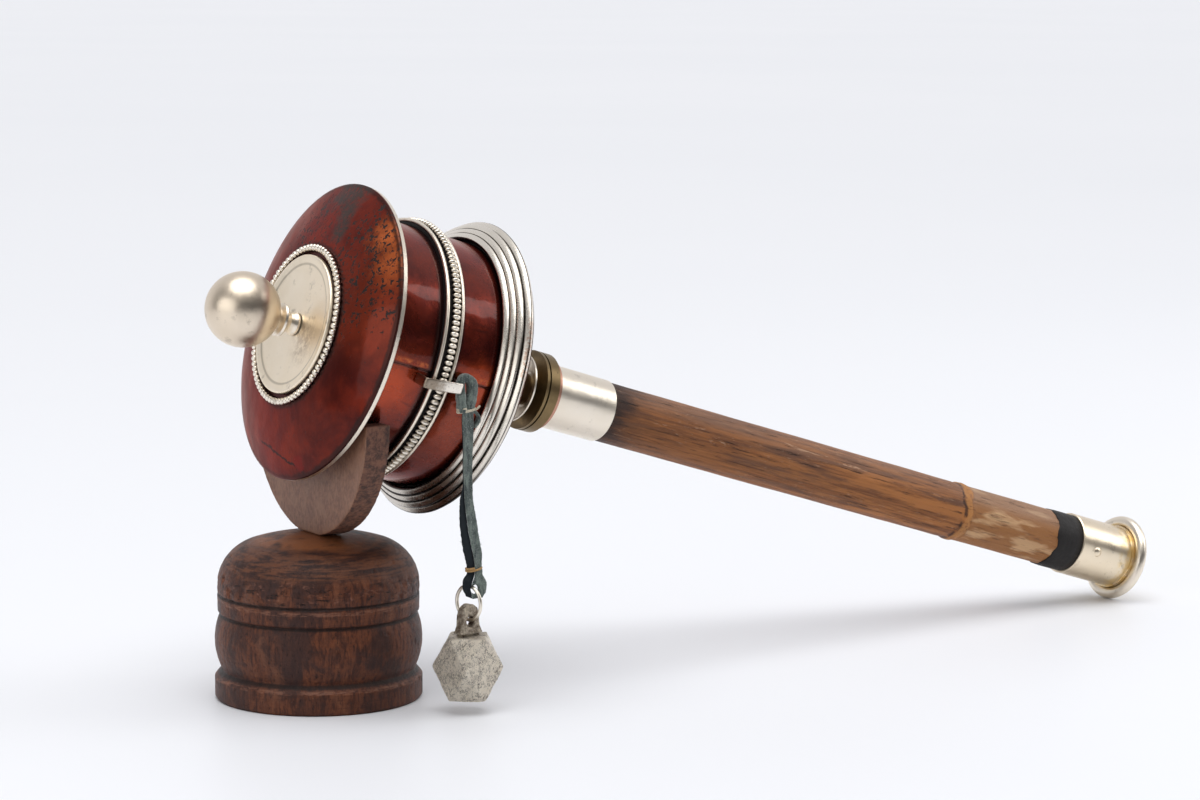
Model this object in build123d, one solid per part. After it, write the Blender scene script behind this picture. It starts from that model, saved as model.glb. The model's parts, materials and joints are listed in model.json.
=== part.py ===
from build123d import *
import math
import os

os.makedirs("parts", exist_ok=True)

# Hand prayer wheel lying in its wooden cradle. Millimetres, +Z up.
# Origin: centre of the underside of the stand's foot. +X runs towards the handle's end.

# --- placing of the wheel ---------------------------------------------------
CRADLE_OFFSET = 0.6        # the cradle sits this far towards the handle from the foot's centre
AXIS_HEIGHT = 102.1        # height of the wheel's axis above the floor, at the lid's rim
TILT = 17.25               # slope of the axis, down towards the handle's end
RUNNING_GAP = 0.3          # gap between faces that turn or lift past each other
BORE_GAP = 0.05            # radial play of the axle in its bushes

# --- drum --------------------------------------------------------------------
WALL_R = 35.2
SHEET = 0.8                # thickness of the drum's sheet copper
WALL_END = -41.4           # where the wall meets the base flange
LID_R = 42.0
LID_BAND_WIDTH = 2.0
LID_BAND_THICK = 0.8
LID_TOP_R = 23.0
LID_TOP_S = 6.7            # height of the lid's flat top above its rim
DISH_R = 19.6
BEAD_RING_R = 21.8
BEAD_R = 0.9
BAND_FRONT_S = -18.3
BAND_BEAD_S = -21.0
BAND_REAR_S = -23.2
REED_R = 1.0               # half-round wires stepped outward round the base
REED_COUNT = 3
REED_FIRST = (36.8, -37.5)
REED_STEP = (1.57, -1.25)
FLANGE_RIM = (41.05, -42.0)
FLANGE_RIM_R = 1.25
COVER_DROP_S = -52.0       # lowest plane of the base cover
COVER_THICK = 0.95
COVER_R = 40.2
HUB_R = 6.0
HUB_END = -65.3
LID_BORE_R = 4.0           # hole in the lid's flat top for the upper bush
COLLAR_INNER_R = 33.4      # collar inside the wall that centres the lid
COLLAR_LOW = -8.0
COLLAR_HIGH = 1.0
BAND_BACKING_R = 36.1
BAND_FRONT_WIRE = (36.66, 0.55)    # ring radius and wire radius
BAND_BEAD_WIRE = (37.05, 0.92)
BAND_REAR_WIRE = (36.62, 0.5)
CORE_R = 4.2
CORE_BORE_R = 3.0
SCROLL_R = 31.5
SCROLL_LOW = -39.5
SCROLL_HIGH = -4.0
SCROLL_GAP = 0.05          # slack of the roll on its core tube
TIE_THICK = 0.6
TIE_WIDTH = 3.0
TIE_HEIGHTS = {"scroll_tie_upper": -10.0, "scroll_tie_lower": -32.0}

# --- handle ------------------------------------------------------------------
AXLE_R = 2.0
AXLE_TOP = 20.0
AXLE_END = -125.0
KNOB_R = 10.42
KNOB_S = 24.3
KNOB_FLAT_S = 14.3         # flat under the ball where the neck meets it
CUP_R = 9.9
CUP_S = -66.0
THRUST_BEAD_R = 4.6
CUP_FLOOR_S = -68.4
CUP_BACK_S = -69.0
WASHER_R = 11.6
THIN_WASHER_END = -69.9
SPACER_R = 10.7
SPACER_END = -70.4
BROAD_WASHER_END = -73.4
COPPER_COLLAR_R = 10.4
FERRULE_TOP = -75.0
FERRULE_END = -95.0
FERRULE_R = 9.2
GRIP_R = 8.85
GRIP_CORE_R = 8.6          # turned down where the ferrules and pitch band sit
NODE_S = -231.0            # ridge of the cane's node
PITCH_START = -268.5
PITCH_R = 9.1
END_FERRULE_START = -278.0
END_FERRULE_END = -298.5
END_FERRULE_R = 9.7
END_RING_S = -300.6
END_RING_R = 11.7
END_RING_WIRE = 1.75
CAP_R = 10.1
CAP_END = -301.6
NAIL_S = -284.3
NAIL_ANGLE = -2.0          # degrees from the horizontal on the near side
NAIL_R = 1.9

# --- hanging weight ----------------------------------------------------------
LOOP_ANGLE = -8.2          # degrees below the horizontal on the near side
LOOP_R = 41.2              # outer face of the strap loop
LOOP_FRONT = -13.5
LOOP_REAR = -25.8
LOOP_WIDTH = 2.95
LOOP_THICK = 0.9
STRAP_Y = -40.5
STRAP_TOP = (23.8, 83.5)   # x and z of the eye's tail, where the thong begins
STRAP_FOOT = (25.4, 31.8)  # x and z of the thong's lower end
HINGE_Z = 82.2             # line about which the thong bends outward
KNEE_Z = 40.5              # the thong widens below this height
STRAP_WIDTH = 3.4
STRAP_FOOT_WIDTH = 6.0
STRAP_THICK = 1.8
EYE_INNER_Y = -37.9
EYE_THICK = 1.8
EYELET_Z = 35.35
EYELET_R = 1.6
RING_R = 4.5
RING_WIRE_R = 0.52
RING_CENTRE = (24.7, STRAP_Y, 30.3)
RING_TURN = 13.0           # turn of the ring and weight about the vertical
WEIGHT_WAIST_R = 9.85
WEIGHT_HALF_HEIGHT = 8.8
WEIGHT_CENTRE_Z = 12.6
LUG_WIDTH = 6.4
LUG_THICK = 2.6
LUG_HEIGHT = 8.7
LUG_HOLE_R = 1.5
LUG_HOLE_Z = 25.2

# --- stand -------------------------------------------------------------------
FOOT_R = 28.9
BASE_TOP = 45.9
CRADLE_R = 34.5
CRADLE_CENTRE_Z = 80.0
CRADLE_THICK = 7.4
CRADLE_FOOT_Z = 46.0       # flat foot of the half disc, on the base's crown
DOWEL_R = 3.0
DOWEL_LOW = 34.0
DOWEL_HIGH = 56.0

# The wheel's own frame: local Z runs along the axis towards the knob, local X is up.
slope = math.radians(TILT)
AXIS_DIR = (-math.cos(slope), 0, math.sin(slope))
UP_DIR = (math.sin(slope), 0, math.cos(slope))
WHEEL = Plane(origin=(CRADLE_OFFSET, 0, AXIS_HEIGHT), x_dir=UP_DIR, z_dir=AXIS_DIR).location


def save(name, shape):
    """Writes one sub-part; its file is named after its node."""
    export_step(shape, f"parts/{name}.step")
    print(f"{name:20s} {shape.volume:10.1f} mm3")


def turned(points):
    """Solid of revolution about the local Z axis from a closed outline of (radius, height) points."""
    outline = Polyline([(r, 0, z) for r, z in points], close=True)
    return revolve(make_face(outline), Axis.Z)


def tube(outer, inner, low, high):
    """Plain round tube or washer between two heights."""
    return turned([(inner, low), (outer, low), (outer, high), (inner, high)])


def wire_ring(radius, wire, height):
    """Ring of round wire lying square to the axis."""
    return Pos(0, 0, height) * Torus(radius, wire)


def on_wheel(shape):
    """Carries a shape from the wheel's own frame to its place in the cradle."""
    return WHEEL * shape


def near_side(angle):
    """Turns a piece made on the local -Y side up by an angle about the axis."""
    return Rot(0, 0, angle)


# --- drum ---------------------------------------------------------------------
def make_lid():
    """Shallow domed cone with a flat top and a hole for the upper bush."""
    rim_r = LID_R - LID_BAND_THICK
    mid_r = (rim_r + LID_TOP_R) / 2
    bulge = LID_TOP_S / 2 + 0.85
    top = Line((LID_BORE_R, 0, LID_TOP_S), (LID_TOP_R, 0, LID_TOP_S))
    slope_out = ThreePointArc((LID_TOP_R, 0, LID_TOP_S), (mid_r, 0, bulge), (rim_r, 0, 0))
    edge = Line((rim_r, 0, 0), (rim_r, 0, -SHEET))
    slope_in = ThreePointArc(
        (rim_r, 0, -SHEET), (mid_r, 0, bulge - SHEET), (LID_TOP_R, 0, LID_TOP_S - SHEET)
    )
    under = Line((LID_TOP_R, 0, LID_TOP_S - SHEET), (LID_BORE_R, 0, LID_TOP_S - SHEET))
    bore = Line((LID_BORE_R, 0, LID_TOP_S - SHEET), (LID_BORE_R, 0, LID_TOP_S))
    return revolve(make_face([top, slope_out, edge, slope_in, under, bore]), Axis.Z)


def make_dish():
    """Silver boss plate with a raised edge and a shallow hollow."""
    return turned([
        (2.4, LID_TOP_S), (DISH_R - 0.4, LID_TOP_S), (DISH_R, 7.2), (DISH_R, 8.5),
        (DISH_R - 0.4, 8.65), (17.3, 8.35), (16.8, 8.1), (5.0, 7.5), (2.4, 7.5),
    ])


def make_lid_band():
    """Silver band folded over the lid's edge."""
    low = -LID_BAND_WIDTH
    inner = LID_R - LID_BAND_THICK
    return turned([
        (inner, low), (LID_R - 0.3, low), (LID_R, low + 0.3), (LID_R, -0.3),
        (LID_R - 0.3, 0), (inner, 0),
    ])


def make_base_skirt():
    """Conical ring that backs the reeds."""
    return turned([(35.25, -37.65), (39.85, WALL_END), (35.25, WALL_END)])


def make_flange():
    """Broad round-edged flange at the drum's base."""
    rim_r, rim_s = FLANGE_RIM
    rim = wire_ring(rim_r, FLANGE_RIM_R, rim_s)
    web = tube(rim_r, 30.0, rim_s - FLANGE_RIM_R, WALL_END)
    return rim + web


def make_base_cover():
    """Shallow cone under the drum, open at the middle for the hub."""
    top = FLANGE_RIM[1] - FLANGE_RIM_R
    low = COVER_DROP_S
    return turned([
        (HUB_R, low), (9.0, low), (COVER_R, top - COVER_THICK), (COVER_R, top), (38.4, top),
        (8.7, low + COVER_THICK), (HUB_R, low + COVER_THICK),
    ])


def make_base_hub():
    """Turned bush through the base cover, with a flange inside the drum."""
    bore = AXLE_R + BORE_GAP
    shelf = COVER_DROP_S + COVER_THICK
    return turned([
        (bore, HUB_END), (HUB_R - 0.6, HUB_END), (HUB_R, HUB_END + 0.6), (HUB_R, shelf),
        (8.4, shelf), (8.4, shelf + 1.1), (bore, shelf + 1.1),
    ])


def make_upper_bush():
    """Flanged bush in the lid that turns on the axle."""
    bore = AXLE_R + BORE_GAP
    shelf = LID_TOP_S - SHEET
    return turned([
        (bore, shelf - 2.4), (6.5, shelf - 2.4), (6.5, shelf), (LID_BORE_R, shelf),
        (LID_BORE_R, LID_TOP_S), (bore, LID_TOP_S),
    ])


def make_strap_loop():
    """Staple of flat silver strip over the beaded band, with both legs on the wall."""
    depth = LOOP_R - WALL_R
    length = LOOP_FRONT - LOOP_REAR
    middle = (LOOP_FRONT + LOOP_REAR) / 2
    outer = Pos(0, -(WALL_R + depth / 2), middle) * Box(LOOP_WIDTH, depth, length)
    outer = fillet(outer.edges().filter_by(Axis.X).sort_by(Axis.Y)[:2], 1.6)
    gap = Pos(0, -(WALL_R + depth / 2) + LOOP_THICK, middle)
    inner = gap * Box(LOOP_WIDTH + 1, depth, length - 2 * LOOP_THICK)
    strip = outer - inner - Cylinder(WALL_R, 80)
    return near_side(LOOP_ANGLE) * strip


def loop_leg():
    """World x and z of the middle of the loop's rear leg."""
    along = LOOP_REAR + LOOP_THICK / 2
    up = 39.0 * math.sin(math.radians(LOOP_ANGLE))
    x = CRADLE_OFFSET + along * AXIS_DIR[0] + up * UP_DIR[0]
    z = AXIS_HEIGHT + along * AXIS_DIR[2] + up * UP_DIR[2]
    return x, z


def make_strap_eye():
    """Turn of leather thong round the loop's rear leg, closing down into the upper binding."""
    leg_x, leg_z = loop_leg()
    tail_x, tail_z = STRAP_TOP
    sheet = Plane(origin=(0, EYE_INNER_Y, 0), x_dir=(1, 0, 0), z_dir=(0, -1, 0))
    eye = Pos(leg_x, leg_z) * Ellipse(2.6, 3.3)
    tail = make_face(Polyline([
        (leg_x - 2.4, leg_z - 1.2), (leg_x + 2.4, leg_z - 1.2),
        (tail_x + 1.5, tail_z), (tail_x - 1.5, tail_z),
    ], close=True))
    slot = RectangleRounded(LOOP_THICK + 0.7, LOOP_WIDTH + 0.9, 0.5)
    hole = Pos(leg_x, leg_z) * Rot(0, 0, -TILT) * slot
    return extrude(sheet * (eye + tail - hole), EYE_THICK, dir=(0, -1, 0))


def make_upper_binding():
    """Flat turn of thread round the eye's tail."""
    tail_x, tail_z = STRAP_TOP
    middle = Pos(tail_x, EYE_INNER_Y - EYE_THICK / 2, tail_z + 0.9)
    return middle * Box(5.0, EYE_THICK + 1.0, 1.6) - make_strap_eye()


def make_drum():
    """Every piece that turns together with the drum."""
    save("drum_wall", on_wheel(tube(WALL_R, WALL_R - SHEET, WALL_END, -SHEET)))
    save("lid", on_wheel(make_lid()))
    save("lid_underside", on_wheel(tube(41.2, WALL_R + 0.05, -SHEET - 0.8, -SHEET)))
    save("lid_collar", on_wheel(tube(WALL_R - SHEET, COLLAR_INNER_R, COLLAR_LOW, COLLAR_HIGH)))
    save("lid_rim_band", on_wheel(make_lid_band()))
    save("lid_dish", on_wheel(make_dish()))
    save("lid_bead_ring", on_wheel(wire_ring(BEAD_RING_R, BEAD_R, LID_TOP_S + BEAD_R)))
    save("upper_bush", on_wheel(make_upper_bush()))
    backing = tube(BAND_BACKING_R, WALL_R, BAND_REAR_S - 0.3, BAND_FRONT_S + 0.4)
    save("band_backing", on_wheel(backing))
    save("band_front_wire", on_wheel(wire_ring(*BAND_FRONT_WIRE, BAND_FRONT_S)))
    save("band_bead_wire", on_wheel(wire_ring(*BAND_BEAD_WIRE, BAND_BEAD_S)))
    save("band_rear_wire", on_wheel(wire_ring(*BAND_REAR_WIRE, BAND_REAR_S)))
    for number in range(REED_COUNT):
        radius = REED_FIRST[0] + number * REED_STEP[0]
        height = REED_FIRST[1] + number * REED_STEP[1]
        save(f"base_reed_{number + 1}", on_wheel(wire_ring(radius, REED_R, height)))
    save("base_skirt", on_wheel(make_base_skirt()))
    save("base_flange", on_wheel(make_flange()))
    save("base_cover", on_wheel(make_base_cover()))
    save("base_hub", on_wheel(make_base_hub()))
    core_low = COVER_DROP_S + 2.1
    core_high = LID_TOP_S - SHEET - 2.45
    save("core_tube", on_wheel(tube(CORE_R, CORE_BORE_R, core_low, core_high)))
    scroll = tube(SCROLL_R, CORE_R + SCROLL_GAP, SCROLL_LOW, SCROLL_HIGH)
    save("mantra_scroll", on_wheel(scroll))
    for name, middle in TIE_HEIGHTS.items():
        tie = tube(SCROLL_R + TIE_THICK, SCROLL_R, middle - TIE_WIDTH / 2, middle + TIE_WIDTH / 2)
        save(name, on_wheel(tie))
    save("strap_loop", on_wheel(make_strap_loop()))
    save("strap_eye", make_strap_eye())
    save("upper_binding", make_upper_binding())


# --- handle -------------------------------------------------------------------
def make_knob_ball():
    """Ball finial: a sphere with a flat and a socket for the axle."""
    ball = Pos(0, 0, KNOB_S) * Sphere(KNOB_R)
    below = Pos(0, 0, KNOB_FLAT_S - 5) * Cylinder(KNOB_R, 10)
    socket = tube(AXLE_R, 0, KNOB_FLAT_S - 1, AXLE_TOP)
    return ball - below - socket


def make_knob_neck():
    """Small waisted spool between the dish and the ball."""
    low = 7.5 + RUNNING_GAP
    return turned([
        (AXLE_R, low), (3.1, low), (3.3, 8.5), (2.9, 9.4), (2.7, 10.3), (3.1, 11.2),
        (4.4, 12.0), (4.8, 12.6), (4.6, 13.2), (3.4, 13.8), (2.9, KNOB_FLAT_S),
        (AXLE_R, KNOB_FLAT_S),
    ])


def make_cup():
    """Cupped washer, open towards the drum."""
    return turned([
        (AXLE_R, CUP_BACK_S), (5.9, CUP_BACK_S), (CUP_R, CUP_S - 0.5), (CUP_R, CUP_S),
        (CUP_R - 0.6, CUP_S), (5.4, CUP_FLOOR_S), (AXLE_R, CUP_FLOOR_S),
    ])


def make_top_ferrule():
    """Silver cap over the top of the grip, pierced for the axle."""
    return turned([
        (AXLE_R, FERRULE_TOP - 0.8), (GRIP_CORE_R, FERRULE_TOP - 0.8),
        (GRIP_CORE_R, FERRULE_END), (FERRULE_R - 0.1, FERRULE_END),
        (FERRULE_R, FERRULE_TOP - 0.3), (FERRULE_R - 0.3, FERRULE_TOP), (AXLE_R, FERRULE_TOP),
    ])


def make_grip():
    """Cane grip with a node ridge, turned down under its metal mounts."""
    top = FERRULE_TOP - 0.8
    return turned([
        (0, END_FERRULE_END), (GRIP_CORE_R, END_FERRULE_END), (GRIP_CORE_R, PITCH_START),
        (GRIP_R, PITCH_START), (GRIP_R, NODE_S - 3), (GRIP_R + 0.35, NODE_S - 0.8),
        (GRIP_R + 0.35, NODE_S + 0.8), (GRIP_R, NODE_S + 3), (GRIP_R, FERRULE_END),
        (GRIP_CORE_R, FERRULE_END), (GRIP_CORE_R, top), (AXLE_R, top), (AXLE_R, AXLE_END),
        (0, AXLE_END),
    ])


def make_end_ferrule():
    """Silver sleeve over the grip's end."""
    return turned([
        (GRIP_CORE_R, END_FERRULE_END), (END_FERRULE_R, END_FERRULE_END),
        (END_FERRULE_R, END_FERRULE_START - 0.3), (END_FERRULE_R - 0.3, END_FERRULE_START),
        (GRIP_CORE_R, END_FERRULE_START),
    ])


def make_end_ring():
    """Thick rolled ring round the handle's end."""
    core = tube(CAP_R, 0, END_RING_S - 5, END_RING_S + 5)
    return wire_ring(END_RING_R, END_RING_WIRE, END_RING_S) - core


def make_nail():
    """Domed nail head on the end ferrule."""
    head = Pos(0, -(END_FERRULE_R - 1.2), NAIL_S) * Sphere(NAIL_R)
    return near_side(NAIL_ANGLE) * (head - tube(END_FERRULE_R, 0, NAIL_S - 5, NAIL_S + 5))


def make_handle():
    """The axle and everything fixed to it."""
    save("knob_ball", on_wheel(make_knob_ball()))
    save("knob_neck", on_wheel(make_knob_neck()))
    save("axle_rod", on_wheel(tube(AXLE_R, 0, AXLE_END, AXLE_TOP)))
    save("thrust_bead", on_wheel(tube(THRUST_BEAD_R, AXLE_R, CUP_FLOOR_S, HUB_END - RUNNING_GAP)))
    save("cupped_washer", on_wheel(make_cup()))
    save("thin_brass_washer", on_wheel(tube(WASHER_R, AXLE_R, THIN_WASHER_END, CUP_BACK_S)))
    save("spacer_washer", on_wheel(tube(SPACER_R, AXLE_R, SPACER_END, THIN_WASHER_END)))
    save("broad_brass_washer", on_wheel(tube(WASHER_R, AXLE_R, BROAD_WASHER_END, SPACER_END)))
    save("copper_collar", on_wheel(tube(COPPER_COLLAR_R, AXLE_R, FERRULE_TOP, BROAD_WASHER_END)))
    save("top_ferrule", on_wheel(make_top_ferrule()))
    save("grip", on_wheel(make_grip()))
    save("pitch_band", on_wheel(tube(PITCH_R, GRIP_CORE_R, END_FERRULE_START, PITCH_START)))
    save("end_ferrule", on_wheel(make_end_ferrule()))
    save("end_cap", on_wheel(tube(CAP_R, 0, CAP_END, END_FERRULE_END)))
    save("end_ring", on_wheel(make_end_ring()))
    save("ferrule_nail", on_wheel(make_nail()))


# --- hanging weight -----------------------------------------------------------
def strap_x(height):
    """Middle of the strap at a height, on its straight line from binding to foot."""
    share = (STRAP_TOP[1] - height) / (STRAP_TOP[1] - STRAP_FOOT[1])
    return STRAP_TOP[0] + share * (STRAP_FOOT[0] - STRAP_TOP[0])


def strap_bar(high, low, wide_high, wide_low, thick):
    """Flat bar along the strap's line between two heights."""
    outline = Polyline([
        (strap_x(high) - wide_high / 2, 0, high), (strap_x(high) + wide_high / 2, 0, high),
        (strap_x(low) + wide_low / 2, 0, low), (strap_x(low) - wide_low / 2, 0, low),
    ], close=True)
    face = Pos(0, STRAP_Y + thick / 2, 0) * make_face(outline)
    return extrude(face, thick, dir=(0, -1, 0))


def make_thong():
    """Doubled leather thong: round top end, straight run, wider foot pierced for the ring."""
    upper = strap_bar(HINGE_Z, KNEE_Z, STRAP_WIDTH - 0.4, STRAP_WIDTH, STRAP_THICK)
    foot = strap_bar(KNEE_Z, STRAP_FOOT[1], STRAP_WIDTH, STRAP_FOOT_WIDTH, STRAP_THICK)
    end = Pos(strap_x(HINGE_Z), STRAP_Y, HINGE_Z) * Rot(0, 90, 0)
    top = end * Cylinder(STRAP_THICK / 2, STRAP_WIDTH - 0.4)
    eyelet = Pos(RING_CENTRE[0], STRAP_Y, EYELET_Z) * Rot(0, 0, RING_TURN) * Rot(90, 0, 0)
    return upper + foot + top - eyelet * Cylinder(EYELET_R, 12)


def make_lower_binding():
    """Flat turn of thread round the thong just above its foot."""
    high = KNEE_Z + 0.8
    low = KNEE_Z - 0.8
    wide = STRAP_WIDTH + 1.0
    return strap_bar(high, low, wide, wide, STRAP_THICK + 1.0) - make_thong()


def make_jump_ring():
    """Plain wire ring through the thong's eyelet and the weight's lug."""
    return Pos(*RING_CENTRE) * Rot(0, 0, RING_TURN) * Rot(0, 90, 0) * Torus(RING_R, RING_WIRE_R)


def make_weight_body():
    """Faceted body: square top and base, and a larger square waist turned by 45 degrees."""
    cap_r = WEIGHT_WAIST_R / math.sqrt(2)
    waist_x = WEIGHT_WAIST_R / math.sqrt(2)
    corners = [(1, 0), (0, 1), (-1, 0), (0, -1)]
    between = [(1, 1), (-1, 1), (-1, -1), (1, -1)]
    top = [(cap_r * x, cap_r * y, WEIGHT_HALF_HEIGHT) for x, y in corners]
    low = [(x, y, -z) for x, y, z in top]
    waist = [(waist_x * x, waist_x * y, 0) for x, y in between]
    rims = [top, low]
    for i in range(4):
        after = (i + 1) % 4
        rims.append([top[i], top[after], waist[i]])
        rims.append([low[i], low[after], waist[i]])
        rims.append([top[after], waist[i], low[after], waist[after]])
    return Solid(Shell([Face(Wire.make_polygon(rim)) for rim in rims]))


def make_weight():
    """Cast weight: the faceted body with a round-topped lug, pierced for the ring."""
    body_top = WEIGHT_CENTRE_Z + WEIGHT_HALF_HEIGHT
    shoulder = body_top + LUG_HEIGHT - LUG_WIDTH / 2
    stem_low = body_top - 1.5
    stem = Pos(0, 0, (stem_low + shoulder) / 2) * Box(LUG_WIDTH, LUG_THICK, shoulder - stem_low)
    crown = Pos(0, 0, shoulder) * Rot(90, 0, 0) * Cylinder(LUG_WIDTH / 2, LUG_THICK)
    hole = Pos(0, 0, LUG_HOLE_Z) * Rot(90, 0, 0) * Cylinder(LUG_HOLE_R, 2 * LUG_THICK)
    body = Pos(0, 0, WEIGHT_CENTRE_Z) * make_weight_body()
    casting = body + stem + crown - hole
    return Pos(RING_CENTRE[0], STRAP_Y, 0) * Rot(0, 0, RING_TURN) * casting


def make_hanging_pieces():
    """Thong, its lower binding, the ring and the weight."""
    save("strap_thong", make_thong())
    save("lower_binding", make_lower_binding())
    save("jump_ring", make_jump_ring())
    save("weight", make_weight())


# --- stand ----------------------------------------------------------------------
def make_base():
    """Turned wooden base: foot, bulging body, a banded waist and a rounded shoulder."""
    foot = Polyline([(0, 0, 0), (28.3, 0, 0), (FOOT_R, 0, 0.8), (FOOT_R, 0, 6.0), (28.2, 0, 6.9)])
    neck = Line((28.2, 0, 6.9), (26.9, 0, 8.3))
    bulge = ThreePointArc((26.9, 0, 8.3), (28.85, 0, 16.2), (27.6, 0, 23.3))
    band = Polyline([
        (27.6, 0, 23.3), (27.2, 0, 23.8), (28.0, 0, 24.6), (28.1, 0, 28.9),
        (27.6, 0, 29.3), (28.0, 0, 29.8),
    ])
    shoulder = ThreePointArc((28.0, 0, 29.8), (26.2, 0, 38.2), (20.4, 0, 43.2))
    crown = ThreePointArc((20.4, 0, 43.2), (11.0, 0, 45.4), (0, 0, BASE_TOP))
    core = Line((0, 0, BASE_TOP), (0, 0, 0))
    solid = revolve(make_face([foot, neck, bulge, band, shoulder, crown, core]), Axis.Z)
    return solid - tube_at_cradle(DOWEL_LOW, BASE_TOP + 1)


def tube_at_cradle(low, high):
    """Upright round rod on the cradle's centre line."""
    return Pos(CRADLE_OFFSET, 0, (low + high) / 2) * Cylinder(DOWEL_R, high - low)


def make_cradle():
    """Half-disc of board with its seat hollowed to the drum's slope."""
    disc = Pos(CRADLE_OFFSET, 0, CRADLE_CENTRE_Z) * Rot(0, 90, 0) * Cylinder(CRADLE_R, CRADLE_THICK)
    above = Pos(0, 0, CRADLE_CENTRE_Z + CRADLE_R) * Box(80, 80, 2 * CRADLE_R)
    below = Pos(0, 0, CRADLE_FOOT_Z - CRADLE_R) * Box(80, 80, 2 * CRADLE_R)
    seat = on_wheel(Cylinder(WALL_R + RUNNING_GAP, 200))
    return disc - above - below - seat - tube_at_cradle(CRADLE_FOOT_Z - 1, DOWEL_HIGH)


def make_stand():
    """Turned base, dowel and cradle."""
    save("stand_base", make_base())
    save("stand_dowel", tube_at_cradle(DOWEL_LOW, DOWEL_HIGH))
    save("stand_cradle", make_cradle())


make_drum()
make_handle()
make_hanging_pieces()
make_stand()
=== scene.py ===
import json
import math
import random

import bmesh
import bpy
from mathutils import Matrix, Vector, noise


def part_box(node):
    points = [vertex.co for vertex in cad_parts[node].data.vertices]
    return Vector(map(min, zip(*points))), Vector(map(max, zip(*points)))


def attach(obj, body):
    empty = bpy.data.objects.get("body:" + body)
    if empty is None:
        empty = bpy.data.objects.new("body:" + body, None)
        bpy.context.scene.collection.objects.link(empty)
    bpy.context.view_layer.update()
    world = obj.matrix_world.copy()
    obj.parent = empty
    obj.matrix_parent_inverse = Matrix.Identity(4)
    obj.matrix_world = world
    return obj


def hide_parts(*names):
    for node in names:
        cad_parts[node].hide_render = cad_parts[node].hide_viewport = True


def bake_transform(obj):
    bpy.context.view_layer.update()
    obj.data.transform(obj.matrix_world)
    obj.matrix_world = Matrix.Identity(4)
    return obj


# Hand prayer wheel in its cradle. The frame gives every place and size; lengths in this script
# are millimetres unless a name says otherwise, and turn into metres where a mesh is written.
MM = 0.001

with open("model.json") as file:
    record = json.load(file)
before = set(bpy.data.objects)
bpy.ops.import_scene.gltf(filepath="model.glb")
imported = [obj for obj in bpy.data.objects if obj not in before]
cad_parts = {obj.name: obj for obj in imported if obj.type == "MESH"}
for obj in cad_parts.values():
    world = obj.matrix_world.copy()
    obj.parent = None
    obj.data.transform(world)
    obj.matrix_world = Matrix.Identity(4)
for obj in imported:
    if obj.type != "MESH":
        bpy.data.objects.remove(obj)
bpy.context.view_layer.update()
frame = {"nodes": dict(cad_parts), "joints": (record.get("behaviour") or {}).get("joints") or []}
NODES = frame["nodes"]
JOINTS = {joint["name"]: joint for joint in frame["joints"]}

# The wheel's own frame: local Z along the axis towards the knob, local X up, local Y away from
# the weight. Angles about the axis are 0 on the near side, where the weight hangs, and grow upward.
WHEEL_POINT = Vector(JOINTS["drum_spin"]["pos_m"])
WHEEL_AXIS = Vector(JOINTS["drum_spin"]["axis"]).normalized()
WHEEL_UP = Vector((0, 1, 0)).cross(WHEEL_AXIS).normalized()
WHEEL_TURN = Matrix((WHEEL_UP, Vector((0, 1, 0)), WHEEL_AXIS)).transposed()
WHEEL = Matrix.Translation(WHEEL_POINT) @ WHEEL_TURN.to_4x4()
TO_WHEEL = WHEEL.inverted()
WORLD = Matrix.Identity(4)


def extent(node):
    """Lowest and highest place along the wheel's axis, and smallest and largest radius, in mm."""
    local = [TO_WHEEL @ vertex.co / MM for vertex in NODES[node].data.vertices]
    along = [point.z for point in local]
    radii = [math.hypot(point.x, point.y) for point in local]
    return min(along), max(along), min(radii), max(radii)


def node_box(node):
    """Lowest and highest corner of a CAD node, in mm."""
    low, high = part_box(node)
    return low / MM, high / MM


def about_axis(radius, angle, along=0.0):
    """Point at an angle in degrees about the wheel's axis, counted up from the near side."""
    turn = math.radians(angle)
    return Vector((radius * math.sin(turn), -radius * math.cos(turn), along))


def clamped(value):
    """Value held between 0 and 1."""
    return min(1.0, max(0.0, value))


def eased(share):
    """Share from 0 to 1 with a soft start and end."""
    return share * share * (3 - 2 * share)


def place_object(name, data):
    """New object in the scene."""
    obj = bpy.data.objects.new(name, data)
    bpy.context.scene.collection.objects.link(obj)
    return obj


# --- camera ---
CAMERA_LENS = 105.0
CAMERA_DISTANCE = 1015.9
CAMERA_YAW = 31.87       # degrees the view is turned from +Y towards +X
CAMERA_PITCH = 7.58      # degrees the view looks down
CAMERA_ROLL = 0.30
CAMERA_TARGET = Vector((91.9, 0.0, 76.9))


def add_camera():
    """Long lens from the weight's side, a little above the wheel."""
    yaw = math.radians(CAMERA_YAW)
    pitch = math.radians(CAMERA_PITCH)
    ahead = math.cos(pitch)
    forward = Vector((math.sin(yaw) * ahead, math.cos(yaw) * ahead, -math.sin(pitch)))
    level = Vector((math.cos(yaw), -math.sin(yaw), 0))
    over = level.cross(forward)
    roll = math.radians(CAMERA_ROLL)
    right = math.cos(roll) * level + math.sin(roll) * over
    up = math.cos(roll) * over - math.sin(roll) * level
    data = bpy.data.cameras.new("camera")
    data.lens = CAMERA_LENS
    data.clip_start = 0.01
    camera = place_object("camera", data)
    place = Matrix.Translation((CAMERA_TARGET - CAMERA_DISTANCE * forward) * MM)
    camera.matrix_world = place @ Matrix((right, up, -forward)).transposed().to_4x4()
    bpy.context.scene.camera = camera


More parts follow.
